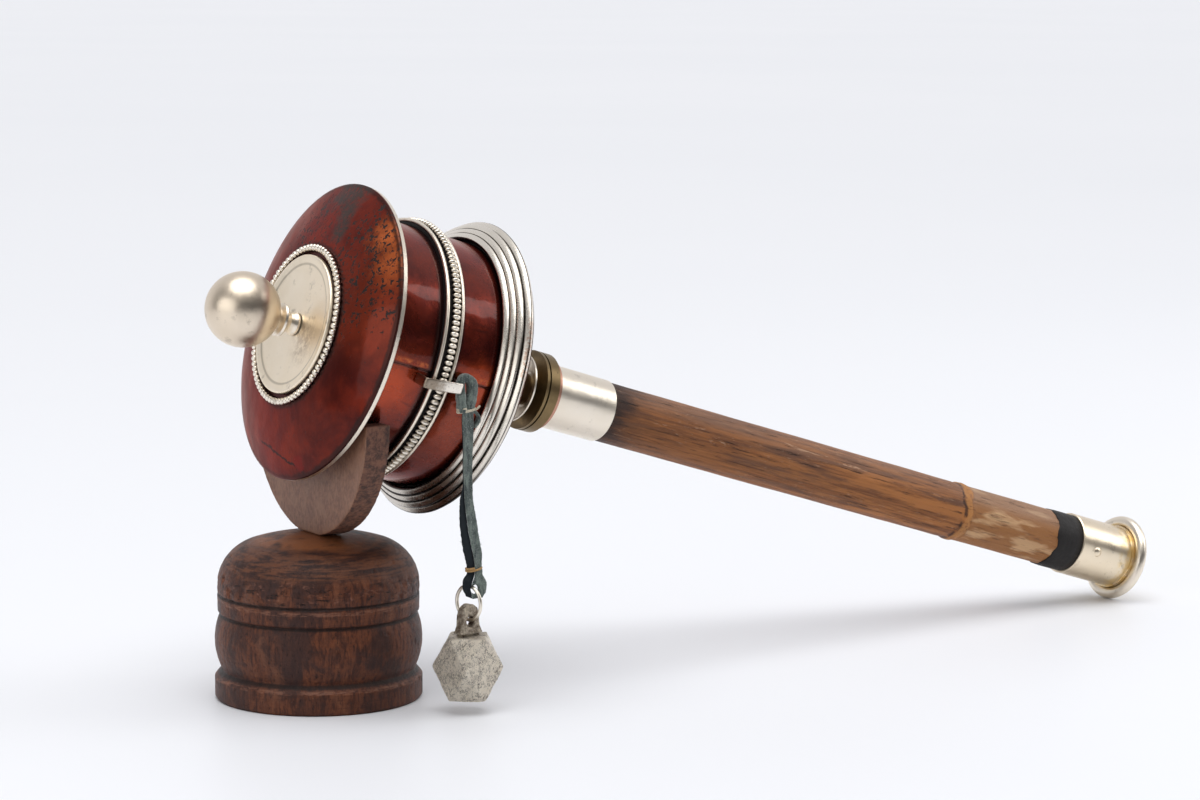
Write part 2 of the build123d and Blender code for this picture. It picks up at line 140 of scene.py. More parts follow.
# --- mesh building ---
def skin(rings, looped=False):
    """Faces over rings of points of equal number; looped joins the last ring to the first."""
    count = len(rings[0])
    points = [point for ring in rings for point in ring]
    faces = []
    for ring in range(len(rings) if looped else len(rings) - 1):
        here = ring * count
        after = ((ring + 1) % len(rings)) * count
        for i in range(count):
            j = (i + 1) % count
            faces.append((here + i, here + j, after + j, after + i))
    if not looped:
        faces.append(tuple(reversed(range(count))))
        faces.append(tuple(range(len(points) - count, len(points))))
    return points, faces


def joined(parts):
    """One list of points and faces out of several."""
    points, faces = [], []
    for more_points, more_faces in parts:
        start = len(points)
        points.extend(more_points)
        faces.extend(tuple(start + i for i in face) for face in more_faces)
    return points, faces


def new_mesh(name, shape, place=WORLD):
    """Mesh of points in mm and faces, put in its place, with its faces outward and smooth."""
    points, faces = shape
    mesh = bpy.data.meshes.new(name)
    mesh.from_pydata([place @ (Vector(point) * MM) for point in points], [], faces)
    tidy_mesh(mesh)
    return mesh


def piece(name, shape, body, nodes, look, place=WHEEL):
    """Writes points and faces in mm as an object that stands for CAD nodes and rides on a body."""
    obj = place_object(name, new_mesh(name, shape, place))
    finish_piece(obj, body, nodes, look)
    return obj


def lathed(name, outline, nodes, look, slot, **turning):
    """Piece of the drum turned from a closed outline of (radius, along)."""
    return piece(name, skin(turned(outline, **turning), looped=True), "drum", nodes, look)


def tidy_mesh(mesh):
    """Faces outward, smooth shading."""
    work = bmesh.new()
    work.from_mesh(mesh)
    bmesh.ops.recalc_face_normals(work, faces=work.faces)
    for face in work.faces:
        face.smooth = True
    work.to_mesh(mesh)
    work.free()


def apply_modifiers(obj):
    """Gives an object the mesh that its modifiers make, without them."""
    graph = bpy.context.evaluated_depsgraph_get()
    mesh = bpy.data.meshes.new_from_object(obj.evaluated_get(graph))
    obj.modifiers.clear()
    obj.data = mesh


def finish_piece(obj, body, nodes, look):
    """Material, body and replaced nodes of a piece."""
    obj.data.materials.clear()
    obj.data.materials.append(look)
    if body:
        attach(obj, body)
    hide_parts(*nodes)


def turned(outline, steps=256, angles=None, shift=None):
    """Rings of an outline of (radius, along) about the axis; shift moves a point after turning."""
    angles = angles or [360.0 * i / steps for i in range(steps)]
    rings = []
    for radius, along in outline:
        ring = []
        for angle in angles:
            point = about_axis(radius, angle, along)
            ring.append(shift(point, radius, angle, along) if shift else point)
        rings.append(ring)
    return rings


def wavy(point, size, seed=0.0):
    """Smooth noise from about -1 to 1 at a point in mm."""
    return noise.noise(Vector(point) / size + Vector((seed, 0.37 * seed, -seed)))


def route_line(points, samples=12):
    """Points of the smooth NURBS line through a route, which starts and ends on its end points."""
    data = bpy.data.curves.new("route", "CURVE")
    data.dimensions = "3D"
    data.resolution_u = samples
    spline = data.splines.new("NURBS")
    spline.points.add(len(points) - 1)
    for target, point in zip(spline.points, points):
        target.co = (*(Vector(point) * MM), 1.0)
    spline.order_u = 3
    spline.use_endpoint_u = True
    holder = bpy.data.objects.new("route", data)
    mesh = bpy.data.meshes.new_from_object(holder)
    line = [vertex.co / MM for vertex in mesh.vertices]
    bpy.data.objects.remove(holder)
    bpy.data.curves.remove(data)
    bpy.data.meshes.remove(mesh)
    return line


def swept(line, section, side, looped=False):
    """Rings of a section of (across, out) points carried along a line; side points across."""
    rings = []
    last = len(line) - 1
    for i, point in enumerate(line):
        before = line[(i - 1) % len(line)] if looped else line[max(0, i - 1)]
        after = line[(i + 1) % len(line)] if looped else line[min(last, i + 1)]
        forward = (after - before).normalized()
        across = side(i) if callable(side) else side
        across = (across - across.dot(forward) * forward).normalized()
        out = forward.cross(across)
        outline = section(i) if callable(section) else section
        rings.append([point + a * across + b * out for a, b in outline])
    return rings


def flat_section(width, thick, corner, steps=4):
    """Rounded oblong outline, centred on the line."""
    outline = []
    for sign_a, sign_b, start in ((1, 1, 0), (-1, 1, 90), (-1, -1, 180), (1, -1, 270)):
        for k in range(steps + 1):
            turn = math.radians(start + 90 * k / steps)
            a = sign_a * (width / 2 - corner) + corner * math.cos(turn)
            b = sign_b * (thick / 2 - corner) + corner * math.sin(turn)
            outline.append((a, b))
    return outline


def round_section(radius, steps=12):
    """Round outline."""
    turns = [2 * math.pi * k / steps for k in range(steps)]
    return [(radius * math.cos(turn), radius * math.sin(turn)) for turn in turns]


def bead_template(subdivisions):
    """Points and faces of a unit ball."""
    work = bmesh.new()
    bmesh.ops.create_icosphere(work, subdivisions=subdivisions, radius=1.0)
    points = [vertex.co.copy() for vertex in work.verts]
    faces = [tuple(vertex.index for vertex in face.verts) for face in work.faces]
    work.free()
    return points, faces


def bead_ring(radius, along, count, half_sizes, uneven):
    """Oval beads in a circle; half_sizes are across the circle, along it and along the axis."""
    ball, faces = bead_template(3)
    parts = []
    for number in range(count):
        angle = 360.0 * number / count
        centre = about_axis(radius, angle, along)
        swell = 1 + uneven * wavy(centre, 1.3, number)
        lift = uneven * 0.8 * wavy(centre, 1.1, number + 40)
        points = []
        for point in ball:
            across = about_axis(1, angle) * (point.x * half_sizes[0] * swell + lift)
            around = about_axis(1, angle + 90) * point.y * half_sizes[1] * swell
            points.append(centre + across + around + Vector((0, 0, point.z * half_sizes[2] * swell)))
        parts.append((points, faces))
    return joined(parts)


def worn_copy(node, name, voxel, look, body, wear, smooth_steps):
    """Fine-meshed copy of a CAD node's shape, with soft corners and its surface moved by wear()."""
    obj = place_object(name, NODES[node].data.copy())
    remesh = obj.modifiers.new("remesh", "REMESH")
    remesh.mode = "VOXEL"
    remesh.voxel_size = voxel * MM
    remesh.use_smooth_shade = True
    soften = obj.modifiers.new("soften", "SMOOTH")
    soften.factor = 0.5
    soften.iterations = smooth_steps
    apply_modifiers(obj)
    normals = [vertex.normal.copy() for vertex in obj.data.vertices]
    for vertex, normal in zip(obj.data.vertices, normals):
        vertex.co += normal * wear(vertex.co / MM, normal) * MM
    tidy_mesh(obj.data)
    finish_piece(obj, body, [node], look)
    return obj


# --- materials ---
def add_node(tree, kind, inputs=None, **settings):
    """Node with its settings; inputs map a socket's name or number to a value or a socket."""
    node = tree.nodes.new(kind)
    for key, value in settings.items():
        setattr(node, key, value)
    for key, value in (inputs or {}).items():
        give(tree, node.inputs[key], value)
    return node


def give(tree, target, value):
    """Links a socket, or writes a number, a vector or a colour."""
    value = value.socket if isinstance(value, Value) else value
    if isinstance(value, bpy.types.NodeSocket):
        tree.links.new(value, target)
    elif target.type == "RGBA" and len(value) == 3:
        target.default_value = (*value, 1)
    else:
        target.default_value = value


def operator(operation, clamp=False):
    """Method that joins a value and another one by a Math node."""
    return lambda self, other: self.look.math(operation, self, other, clamp)


class Value:
    """A value in a material; arithmetic on it adds Math nodes, & and | meet and join masks."""

    def __init__(self, look, socket):
        self.look = look
        self.socket = socket

    __add__ = operator("ADD")
    __sub__ = operator("SUBTRACT")
    __mul__ = operator("MULTIPLY")
    __truediv__ = operator("DIVIDE")
    __and__ = operator("MULTIPLY", clamp=True)
    __or__ = operator("MAXIMUM", clamp=True)

    def __rsub__(self, other):
        return self.look.math("SUBTRACT", other, self)

    def __abs__(self):
        return self.look.math("ABSOLUTE", self)

    def rise(self, low, high):
        """Smooth step from 0 at low to 1 at high; with low above high it falls."""
        inputs = {"Value": self, "From Min": min(low, high), "From Max": max(low, high)}
        inputs.update({"To Min": float(low > high), "To Max": float(low < high)})
        node = self.look.add("ShaderNodeMapRange", inputs, interpolation_type="SMOOTHSTEP")
        return Value(self.look, node.outputs["Result"])


class Look:
    """One procedural material. Its coordinates are mm, in the wheel's frame for the wheel's parts."""

    def __init__(self, name, wheel=True):
        self.material = bpy.data.materials.new(name)
        self.material.use_nodes = True
        self.tree = self.material.node_tree
        place = self.add("ShaderNodeTexCoord").outputs["Object"]
        if wheel:
            inputs = {"Location": WHEEL_POINT, "Rotation": WHEEL_TURN.to_euler(), "Vector": place}
            place = self.add("ShaderNodeMapping", inputs, vector_type="TEXTURE").outputs["Vector"]
        size = self.add("ShaderNodeVectorMath", {0: place}, operation="SCALE")
        size.inputs["Scale"].default_value = 1 / MM
        self.place = size.outputs["Vector"]
        parts = self.add("ShaderNodeSeparateXYZ", {0: self.place})
        self.x, self.y, self.z = (Value(self, parts.outputs[letter]) for letter in "XYZ")
        self.tone = None
        self.normal = None

    def add(self, kind, inputs=None, **settings):
        return add_node(self.tree, kind, inputs, **settings)

    def stretched(self, stretch=1, shift=(0, 0, 0)):
        """Coordinates that draw a texture out along Z, or by three stretches along X, Y and Z."""
        ways = stretch if isinstance(stretch, tuple) else (1, 1, stretch)
        inputs = {"Scale": [1 / way for way in ways], "Location": shift, "Vector": self.place}
        return self.add("ShaderNodeMapping", inputs).outputs["Vector"]

    def noise(self, size, detail=4, rough=0.55, stretch=1, shift=(0, 0, 0), warp=0.0, place=None):
        inputs = {"Scale": 1 / size, "Detail": detail, "Roughness": rough, "Distortion": warp}
        inputs["Vector"] = place or self.stretched(stretch, shift)
        return Value(self, self.add("ShaderNodeTexNoise", inputs).outputs["Fac"])

    def cells(self, size):
        inputs = {"Scale": 1 / size, "Vector": self.stretched()}
        return Value(self, self.add("ShaderNodeTexVoronoi", inputs).outputs["Distance"])

    def math(self, operation, first, second=0.0, clamp=False):
        node = self.add("ShaderNodeMath", {0: first, 1: second}, operation=operation, use_clamp=clamp)
        return Value(self, node.outputs[0])

    def radius(self):
        """Distance from the axis."""
        return self.math("SQRT", self.math("POWER", self.x, 2.0) + self.math("POWER", self.y, 2.0))

    def spot(self, centre, radius, soft, ragged=0.0, size=3.0):
        """1 inside a ball about a point, 0 outside it, with a ragged edge."""
        node = self.add("ShaderNodeVectorMath", {0: self.place, 1: centre}, operation="DISTANCE")
        away = Value(self, node.outputs["Value"])
        if ragged:
            away = away + (self.noise(size, 5, 0.65) - 0.5) * (ragged * 2)
        return away.rise(radius + soft, radius - soft)

    def mix(self, factor, first, second):
        """Colour between two, by a factor."""
        node = self.add("ShaderNodeMix", {"Factor": factor}, data_type="RGBA")
        give(self.tree, node.inputs[6], first)
        give(self.tree, node.inputs[7], second)
        return Value(self, node.outputs[2])

    def blend(self, factor, first, second):
        """Number between two, by a factor."""
        node = self.add("ShaderNodeMix", {"Factor": factor, 2: first, 3: second}, data_type="FLOAT")
        return Value(self, node.outputs[0])

    def stain(self, mask, colour, strength=1):
        """Lays a colour over the tone where the mask is set."""
        self.tone = self.mix(mask if strength == 1 else mask * strength, self.tone, colour)

    def bump(self, height, depth):
        """Adds relief of a depth in mm to the surface."""
        node = self.add("ShaderNodeBump", {"Strength": 1.0, "Distance": depth * MM, "Height": height})
        if self.normal:
            self.tree.links.new(self.normal, node.inputs["Normal"])
        self.normal = node.outputs["Normal"]

    def done(self, rough, metallic=0.0, **plain):
        """Sets the shader; plain values are numbers set on its own sockets."""
        sockets = self.tree.nodes["Principled BSDF"].inputs
        give(self.tree, sockets["Base Color"], self.tone)
        give(self.tree, sockets["Roughness"], rough)
        give(self.tree, sockets["Metallic"], metallic)
        if self.normal:
            self.tree.links.new(self.normal, sockets["Normal"])
        for key, value in plain.items():
            sockets[key.replace("_", " ")].default_value = value
        return self.material


def tint(colour, share):
    """A share of a colour's strength."""
    return tuple(c * share for c in colour)


def silver_look(name, colour, tarnish=(0.2, 0.16, 0.11), dark=0.45, rough=0.24, step=0.0, gilt=False):
    """Warm satin silver, scratched and tarnished; gilt yellows its far end, step marks a radius and adds a
    painted reflection of the ball near the neck.
    """
    look = Look(name)
    cloud = look.noise(9.0, 5, 0.6)
    scratch = look.noise(0.35, 3, 0.7, stretch=14)
    cross = look.noise(0.3, 3, 0.7, stretch=(12, 1.3, 1), shift=(4, 4, 4))
    look.tone = look.mix(cloud, colour, tuple(c * t for c, t in zip(colour, (0.93, 0.9, 0.84))))
    look.stain(look.noise(4.0, 6, 0.7, shift=(11, 3, 7)).rise(0.56, 0.76), tarnish, dark)
    if gilt:
        yellow = look.z.rise(-290.0, -297.5) & look.noise(3.0, 5).rise(0.42, 0.6)
        look.stain(yellow, (0.8, 0.58, 0.22), 0.6)
    if step:
        look.stain(abs(look.radius() - step).rise(0.55, 0.05), tarnish, 0.45)
        # painted reflection of the ball: a dark brown patch on the dish's near side by the neck
        ball_reflection = look.spot((-4, -7, 6), 5, 4, 4.0) & look.noise(1.6, 5, 0.7).rise(0.35, 0.6)
        look.stain(ball_reflection, (0.3, 0.2, 0.12), 0.55)
    look.bump(scratch, 0.012)
    look.bump(cross, 0.01)
    look.bump(look.noise(3.2, 3, 0.5), 0.09)
    return look.done(look.blend(cloud, rough, rough + 0.14) + scratch * 0.06, 1.0)


def staple_look():
    """Silver of the staple, browned towards its front end by painted shade and brightened towards its rear
    by painted light.
    """
    look = Look("staple_silver")
    cloud = look.noise(1.6, 6, 0.7)
    # painted shade and light along the staple: dark towards the front end, bright towards the rear, mixed
    # with cloud
    light_and_cloud = look.z.rise(-15.0, -25.0) * 0.6 + cloud * 0.6
    look.tone = look.mix(light_and_cloud.rise(0.3, 0.8), (0.3, 0.245, 0.19), (0.86, 0.8, 0.71))
    look.stain(look.noise(0.6, 5, 0.7).rise(0.58, 0.66), (0.1, 0.075, 0.055), 0.6)
    look.bump(look.noise(1.3, 3), 0.1)
    return look.done(look.blend(cloud, 0.2, 0.38), 1.0)


LACQUER_DARK = (0.02, 0.006, 0.007)
LACQUER_EDGE = (0.82, 0.42, 0.36, 1.0)    # tint of the reflection at a grazing angle
# colour of the painted highlights on the lid
LID_HIGHLIGHT = (0.92, 0.235, 0.062)
PATINA = (0.006, 0.008, 0.008)
VERDIGRIS = (0.011, 0.016, 0.014)
# near-black of painted shade beside raised parts: round the lid's bead ring, beside the band and at the
# base
GAP_SHADE = (0.012, 0.008, 0.009)


def lacquer(name, base, bright):
    """Begins a look of streaky translucent red over copper, from a deep to a bright tone."""
    look = Look(name)
    look.tone = look.mix(look.noise(14.0, 5, 0.6, warp=0.4).rise(0.35, 0.7), base, bright)
    look.stain(look.noise(2.2, 6, 0.7).rise(0.45, 0.8), LACQUER_DARK, 0.35)
    return look


CRACK_X = -35.4           # where the lid's crack crosses the wheel's vertical plane
CRACK_SLANT = 0.229


def lid_look():
    """Red lacquer with painted highlights of bright copper on its near side, pits, a blackened patch at the
    top, painted shade round the bead ring, a crack and a chip.
    """
    look = lacquer("lid_lacquer", (0.07, 0.0078, 0.0058), (0.185, 0.02, 0.0085))
    # painted highlights: bright copper spots on the lid's near side
    painted_glow = look.spot((29, -27, 0), 4.0, 5.5, 5.0) | look.spot((22, -33, 0), 4.5, 6, 5.0)
    look.stain(painted_glow, LID_HIGHLIGHT, 0.9)
    # painted light: a broad orange patch on the near side
    look.stain(look.spot((12, -34, 0), 14, 12, 4.0), (0.32, 0.055, 0.022), 0.45)
    pitted = look.spot((20, -25, 2), 20, 7, 5.0) | look.spot((27, 8, 2), 12, 5, 5.0)
    pits = (look.noise(1.35, 4, 0.66, warp=0.3) + pitted * 0.132).rise(0.676, 0.7)
    look.stain(pits, PATINA)
    top = look.spot((40, -1, 0), 7.5, 3.0, 7.0)
    streak = look.spot((33, -5, 3), 4.2, 1.8, 3.6) | look.spot((28, -7, 4.5), 3.4, 1.8, 3.4)
    broken = look.noise(1.7, 7, 0.75, shift=(1, 5, 2)).rise(0.35, 0.53)
    patch = ((top | streak) & broken) * 0.90
    look.stain(patch, VERDIGRIS)
    look.stain((look.radius() + look.noise(4, 5) * 2.0).rise(41.5, 42.4), PATINA, 0.75)
    # painted shade round the bead ring and under the dish
    look.stain((look.radius() + look.noise(2.5, 4) * 1.4).rise(24.9, 23.6), GAP_SHADE, 0.85)
    sway = (look.noise(4.0, 5, 0.7, shift=(2, 6, 1)) - 0.5) * 3.2
    away = (look.x - look.y * CRACK_SLANT) + (sway - CRACK_X)
    look.stain(abs(away).rise(0.55, 0.15) & look.spot((-36, -1.5, 2), 12.5, 1.5), PATINA)
    look.stain(look.spot((-36.6, -11.5, 1.6), 2.3, 0.6, 1.6, 2.0), (0.15, 0.009, 0.007), 0.8)
    look.bump(1.0 - pits, 0.1)
    look.bump(look.noise(7.0, 3), 0.16)
    look.bump(look.noise(0.8, 5, 0.6), 0.012)
    dull = pits | patch
    rough = look.blend(dull, look.blend(look.noise(6, 5), 0.24, 0.44), 0.66)
    return look.done(rough, look.blend(dull, 0.78, 0.1), Coat_Weight=0.14, Coat_Roughness=0.09,
                     Specular_Tint=LACQUER_EDGE)


SEAM_X = -3.55            # height of the wall's seam in the wheel's frame
BAND_S = -20.7            # middle of the beaded band along the axis


def wall_look():
    """The same lacquer on the wall, with painted reflections of the floor under the seam, a painted
    highlight along the lap above it, a painted shadow line along the seam, and painted shade beside the
    band and at the base.
    """
    look = lacquer("wall_lacquer", (0.082, 0.0095, 0.007), (0.185, 0.021, 0.009))
    # painted reflections of the floor on the near side, under the seam
    floor_reflection = look.spot((-9, -35, -7), 7, 7, 4.0)
    floor_reflection = floor_reflection | (look.spot((-4, -35, -33), 6.5, 4, 4.0) & 0.9)
    look.stain(floor_reflection, (0.5, 0.066, 0.016), 0.8)
    # painted highlight along the lap just above the seam
    lap_highlight = abs(look.x - (SEAM_X + 1.25)).rise(1.0, 0.2) & look.noise(2.2, 5, 0.65).rise(0.42, 0.6)
    look.stain(lap_highlight, (0.6, 0.14, 0.035), 0.7)
    # painted reflection of the floor, low on the near side
    look.stain(look.spot((-16, -32, -30), 9, 8, 4.0), (0.36, 0.06, 0.02), 0.5)
    look.stain(look.noise(2.0, 5, 0.65, stretch=5).rise(0.58, 0.75), LACQUER_DARK, 0.55)
    # painted shadow line under the lap's edge at the seam
    look.stain(abs(look.x - SEAM_X).rise(0.8, 0.15), (0.02, 0.008, 0.008), 0.8)
    # painted shade on the wall beside the band and just above the reeded base
    look.stain(abs(look.z - BAND_S).rise(5.2, 3.6) | look.z.rise(-35.6, -37.0), GAP_SHADE, 0.85)
    look.bump(look.noise(9.0, 3), 0.22)
    look.bump(look.noise(1.0, 5, 0.6), 0.012)
    return look.done(look.blend(look.noise(5, 5), 0.17, 0.36), 0.72, Coat_Weight=0.42,
                     Coat_Roughness=0.06, Specular_Tint=LACQUER_EDGE)


def dark_metal_look(name, colour, rough=0.5):
    """Blackened metal of grooves and backings."""
    look = Look(name)
    look.tone = look.mix(look.noise(2.0, 5, 0.6), colour, tint(colour, 2.2))
    look.bump(look.noise(0.7, 4), 0.02)
    return look.done(look.blend(look.noise(3, 4), rough, rough + 0.2), 0.6)


REED_START = (36.8, -37.5)    # radius and place of the first reed's centre
REED_STEP = (1.57, -1.25)


def reed_look(name, worn):
    """Bright reeded silver, darkened towards the bottom by painted shade, and with copper showing through
    on the worn edge.
    """
    look = Look(name)
    radius = look.radius()
    lathe = look.add("ShaderNodeCombineXYZ", {"X": radius, "Z": look.z})
    along = (radius - REED_START[0]) * REED_STEP[0]
    down = (look.z - REED_START[1]) * REED_STEP[1]
    count = (along + down) / (REED_STEP[0] ** 2 + REED_STEP[1] ** 2)
    between = abs(look.math("FRACT", count) - 0.5)
    # painted shade on the reeds' undersides, darker towards the bottom
    underside_shade = look.x.rise(-18.0, -34.0)
    cloud = look.noise(7.0, 5, 0.6)
    look.tone = look.mix(cloud, (0.9, 0.85, 0.77), (0.74, 0.68, 0.59))
    # painted shade greys the reeds towards the bottom
    look.stain(underside_shade, (0.34, 0.3, 0.26), 0.45)
    look.stain(look.noise(0.9, 5, 0.7).rise(0.6, 0.68) & (underside_shade + 0.05), (0.06, 0.045, 0.035), 0.6)
    # dark between the reeds, widened into painted shade on the reeds' undersides towards the bottom
    groove = between.rise(0.1, 0.02) | (between.rise(0.26, 0.14) & underside_shade)
    look.stain(groove, (0.022, 0.016, 0.013), 0.93)
    if worn:
        side = look.spot((9, -43, -42.5), 9, 5, 5.0)
        grain = look.noise(1.1, 5, 0.7, shift=(3, 1, 0)).rise(0.44, 0.56)
        look.stain(side & grain & radius.rise(41.35, 41.75), (0.46, 0.2, 0.1), 0.55)
    look.bump(look.noise(0.16, 3, 0.7, place=lathe.outputs["Vector"]), 0.008)
    look.bump(look.noise(5, 3), 0.05)
    return look.done(look.blend(cloud, 0.2, 0.34), 1.0)


def brass_look(name, colour):
    """Old brass with dark olive tarnish."""
    look = Look(name)
    cloud = look.noise(3.0, 5, 0.6)
    look.tone = look.mix(cloud, colour, tint(colour, 0.55))
    look.stain(look.noise(1.0, 5, 0.7).rise(0.6, 0.72), (0.05, 0.035, 0.02), 0.7)
    look.bump(look.noise(0.5, 4), 0.015)
    return look.done(look.blend(cloud, 0.28, 0.48), 1.0)


def cast_look():
    """Cast white metal: pale and warm, pitted, with dark grime in the hollows and a brown lug."""
    look = Look("cast_metal", wheel=False)
    fine = look.noise(0.4, 8, 0.8, stretch=2)
    broad = look.noise(2.2, 7, 0.75, shift=(5, 2, 9))
    vein = abs(look.noise(1.5, 8, 0.8) - 0.5).rise(0.035, 0.005)
    grime = (fine * 0.75 + broad * 0.3).rise(0.555, 0.6) | (vein & broad.rise(0.42, 0.56))
    look.tone = look.mix(look.noise(3.5, 5, 0.6), (1.0, 0.93, 0.8), (0.76, 0.68, 0.57))
    look.stain(grime, (0.08, 0.058, 0.042), 0.8)
    cloud = look.noise(1.6, 5, 0.6).rise(0.36, 0.62)
    look.stain(look.z.rise(20.6, 22.0), look.mix(cloud, (0.66, 0.58, 0.46), (0.165, 0.12, 0.088)), 0.9)
    look.bump(fine.rise(0.6, 0.4), 0.2)
    look.bump(broad, 0.3)
    look.bump(look.noise(0.22, 4, 0.6), 0.04)
    return look.done(look.blend(grime, 0.3, 0.62), 0.95)


CROWN_Z = (34.5, 38.5)    # heights over which the stand's crown begins
WORN_Z = 33.0
CHIPPED_Z = 32.5          # middle of the stand's gouged and chipped shoulder
GROOVES_Z = (29.3, 23.7, 7.7)
EDGES_Z = (27.9, 6.3)     # light edges beside the grooves


def turned_wood_look():
    """Red-brown turned hardwood: pores and dark streaks up the grain, lathe lines on the crown."""
    look = Look("turned_wood", wheel=False)
    grain = look.noise(1.3, 8, 0.74, stretch=5, warp=0.7).rise(0.38, 0.62)
    look.tone = look.mix(grain, (0.158, 0.05, 0.022), (0.05, 0.016, 0.01))
    cloud = look.noise(12, 5, 0.6, stretch=1.2, warp=0.5).rise(0.44, 0.62)
    look.stain(cloud, (0.036, 0.017, 0.015), 0.8)
    amber = look.noise(8, 5, 0.6, stretch=2, shift=(9, 2, 5), warp=0.6).rise(0.54, 0.7)
    look.stain(amber, (0.215, 0.082, 0.042), 0.5)
    lathe = look.noise(0.5, 6, 0.7, stretch=(16, 16, 1), shift=(2, 0, 0)).rise(0.5, 0.66)
    look.stain(lathe, (0.03, 0.013, 0.01), 0.35)
    bands = look.noise(1.0, 6, 0.66, stretch=(12, 6, 1), shift=(2, 0, 0)).rise(0.4, 0.6)
    across = look.mix(bands, (0.15, 0.055, 0.026), (0.024, 0.011, 0.01))
    look.stain(look.z.rise(*CROWN_Z), across, 0.75)
    collar = look.z.rise(43.4, 44.4) & look.noise(6, 3).rise(0.3, 0.52)
    look.stain(collar, (0.28, 0.098, 0.036), 0.8)
    pores = look.noise(0.38, 4, 0.65, stretch=4, shift=(1, 7, 2)).rise(0.6, 0.67)
    look.stain(pores, (0.012, 0.007, 0.006), 0.7)
    gouge = turned_wood_wear(look)
    look.bump(look.noise(0.3, 6, 0.75, stretch=9), 0.06)
    look.bump(pores, -0.12)
    look.bump(gouge, -0.3)
    look.bump(look.noise(1.2, 6, 0.7), 0.14)
    return look.done(look.blend(look.noise(4, 5), 0.36, 0.58), 0.0, Specular_IOR_Level=0.22)


def turned_wood_wear(look):
    """Rubbed and gouged band, dark grooves, light edges and flecks; returns the gouges."""
    worn = look.noise(1.6, 8, 0.8, stretch=(2.4, 2.4, 1), shift=(4, 0, 1)).rise(0.545, 0.62)
    look.stain(worn & abs(look.z - WORN_Z).rise(5.5, 1.0), (0.285, 0.125, 0.085), 0.55)
    gouge = look.noise(1.3, 7, 0.75, stretch=(3, 3, 1), shift=(8, 8, 3)).rise(0.57, 0.64)
    gouge = gouge & abs(look.z - CHIPPED_Z).rise(4.5, 1.0)
    look.stain(gouge, (0.01, 0.006, 0.006), 0.8)

    def line(height):
        return abs(look.z - height).rise(0.75, 0.25)

    upper, middle, lower = (line(height) for height in GROOVES_Z)
    look.stain(upper | (middle | lower), (0.012, 0.007, 0.006), 0.8)
    upper, lower = (line(height) for height in EDGES_Z)
    rubbed = look.noise(1.0, 6, 0.75, stretch=(4, 4, 1)).rise(0.45, 0.58)
    look.stain((upper | lower) & rubbed, (0.33, 0.15, 0.095), 0.45)
    flecks = look.noise(0.33, 4, 0.75, shift=(3, 3, 3)).rise(0.665, 0.71)
    look.stain(flecks, (0.42, 0.27, 0.2), 0.5)
    return gouge


def board_look():
    """Cradle board: smooth dusty face, rough dark end grain round its edge."""
    look = Look("cradle_board", wheel=False)
    fibre = look.noise(0.9, 7, 0.7, stretch=(7, 1, 1.6), warp=0.4)
    look.tone = look.mix(fibre.rise(0.34, 0.68), (0.25, 0.116, 0.066), (0.14, 0.06, 0.034))
    look.stain(look.noise(8, 4, 0.55).rise(0.45, 0.7), (0.285, 0.148, 0.092), 0.5)
    facing = look.add("ShaderNodeNewGeometry").outputs["Normal"]
    normal = look.add("ShaderNodeSeparateXYZ", {0: facing})
    edge = abs(Value(look, normal.outputs["X"])).rise(0.9, 0.6)
    ends = look.noise(0.8, 7, 0.75, stretch=(2.4, 1, 3.2), shift=(2, 5, 1))
    look.stain(edge, look.mix(ends.rise(0.38, 0.62), (0.19, 0.078, 0.046), (0.034, 0.014, 0.01)), 0.9)
    look.bump(ends * edge, 0.35)
    look.bump(look.noise(0.6, 5, 0.6), 0.03)
    return look.done(look.blend(edge, 0.55, 0.68))


NODE_S = -231.0           # place of the cane's node along the axis


def cane_look():
    """Golden-brown cane: dark streaks, cracks, pale scratches and a painted highlight along its top,
    whittled beyond the node.
    """
    look = Look("cane_grip")
    streak = look.noise(0.8, 8, 0.76, stretch=26, warp=0.1)
    look.tone = look.mix(streak.rise(0.36, 0.64), (0.31, 0.112, 0.032), (0.15, 0.054, 0.02))
    broad = look.noise(4.0, 4, 0.5, stretch=11, shift=(3, 1, 9)).rise(0.44, 0.62)
    look.stain(broad, (0.12, 0.056, 0.034), 0.7)
    amber = look.noise(2.6, 6, 0.65, stretch=12, shift=(7, 8, 2)).rise(0.56, 0.4)
    amber = amber & (look.z.rise(-100.0, -215.0) * 0.7 + 0.25)
    look.stain(amber, (0.45, 0.172, 0.048), 0.85)
    # painted highlight: lighter along the cane's top
    look.stain(look.x.rise(2.0, 7.5), (0.24, 0.14, 0.096), 0.45)
    start = look.z + look.noise(2.2, 5, 0.6, stretch=4) * 22.0
    look.stain(start.rise(-99.0, -84.0), (0.026, 0.015, 0.013), 0.9)
    dust = look.noise(0.5, 5, 0.75, stretch=7, shift=(1, 2, 3)).rise(0.58, 0.66)
    dust = dust & look.noise(7, 4, 0.6, stretch=4).rise(0.46, 0.6)
    look.stain(dust, (0.5, 0.31, 0.19), 0.65)
    look.stain(cane_scratch(look), (0.54, 0.33, 0.2), 0.8)
    crack = look.noise(0.5, 5, 0.72, stretch=26, shift=(8, 3, 6)).rise(0.6, 0.65)
    look.stain(crack, (0.022, 0.011, 0.008), 0.8)
    relief = whittle(look)
    look.bump(look.noise(0.22, 6, 0.75, stretch=24), 0.1)
    look.bump(streak, 0.22)
    look.bump(crack, -0.25)
    look.bump(relief, 0.5)
    return look.done(look.blend(streak, 0.44, 0.62), 0.0, Specular_IOR_Level=0.28)


def cane_scratch(look):
    """One long pale scratch that climbs along the near side."""
    path = (look.z + 130.0) * 0.037
    sway = (look.noise(9.0, 3) - 0.5) * 1.6
    line = abs(look.x - 6.4 - (path + sway)).rise(0.55, 0.1) & look.y.rise(1.0, -1.0)
    line = line & look.noise(1.6, 6, 0.75, stretch=7, shift=(6, 1, 1)).rise(0.5, 0.6)
    return line & look.z.rise(-128.0, -150.0)


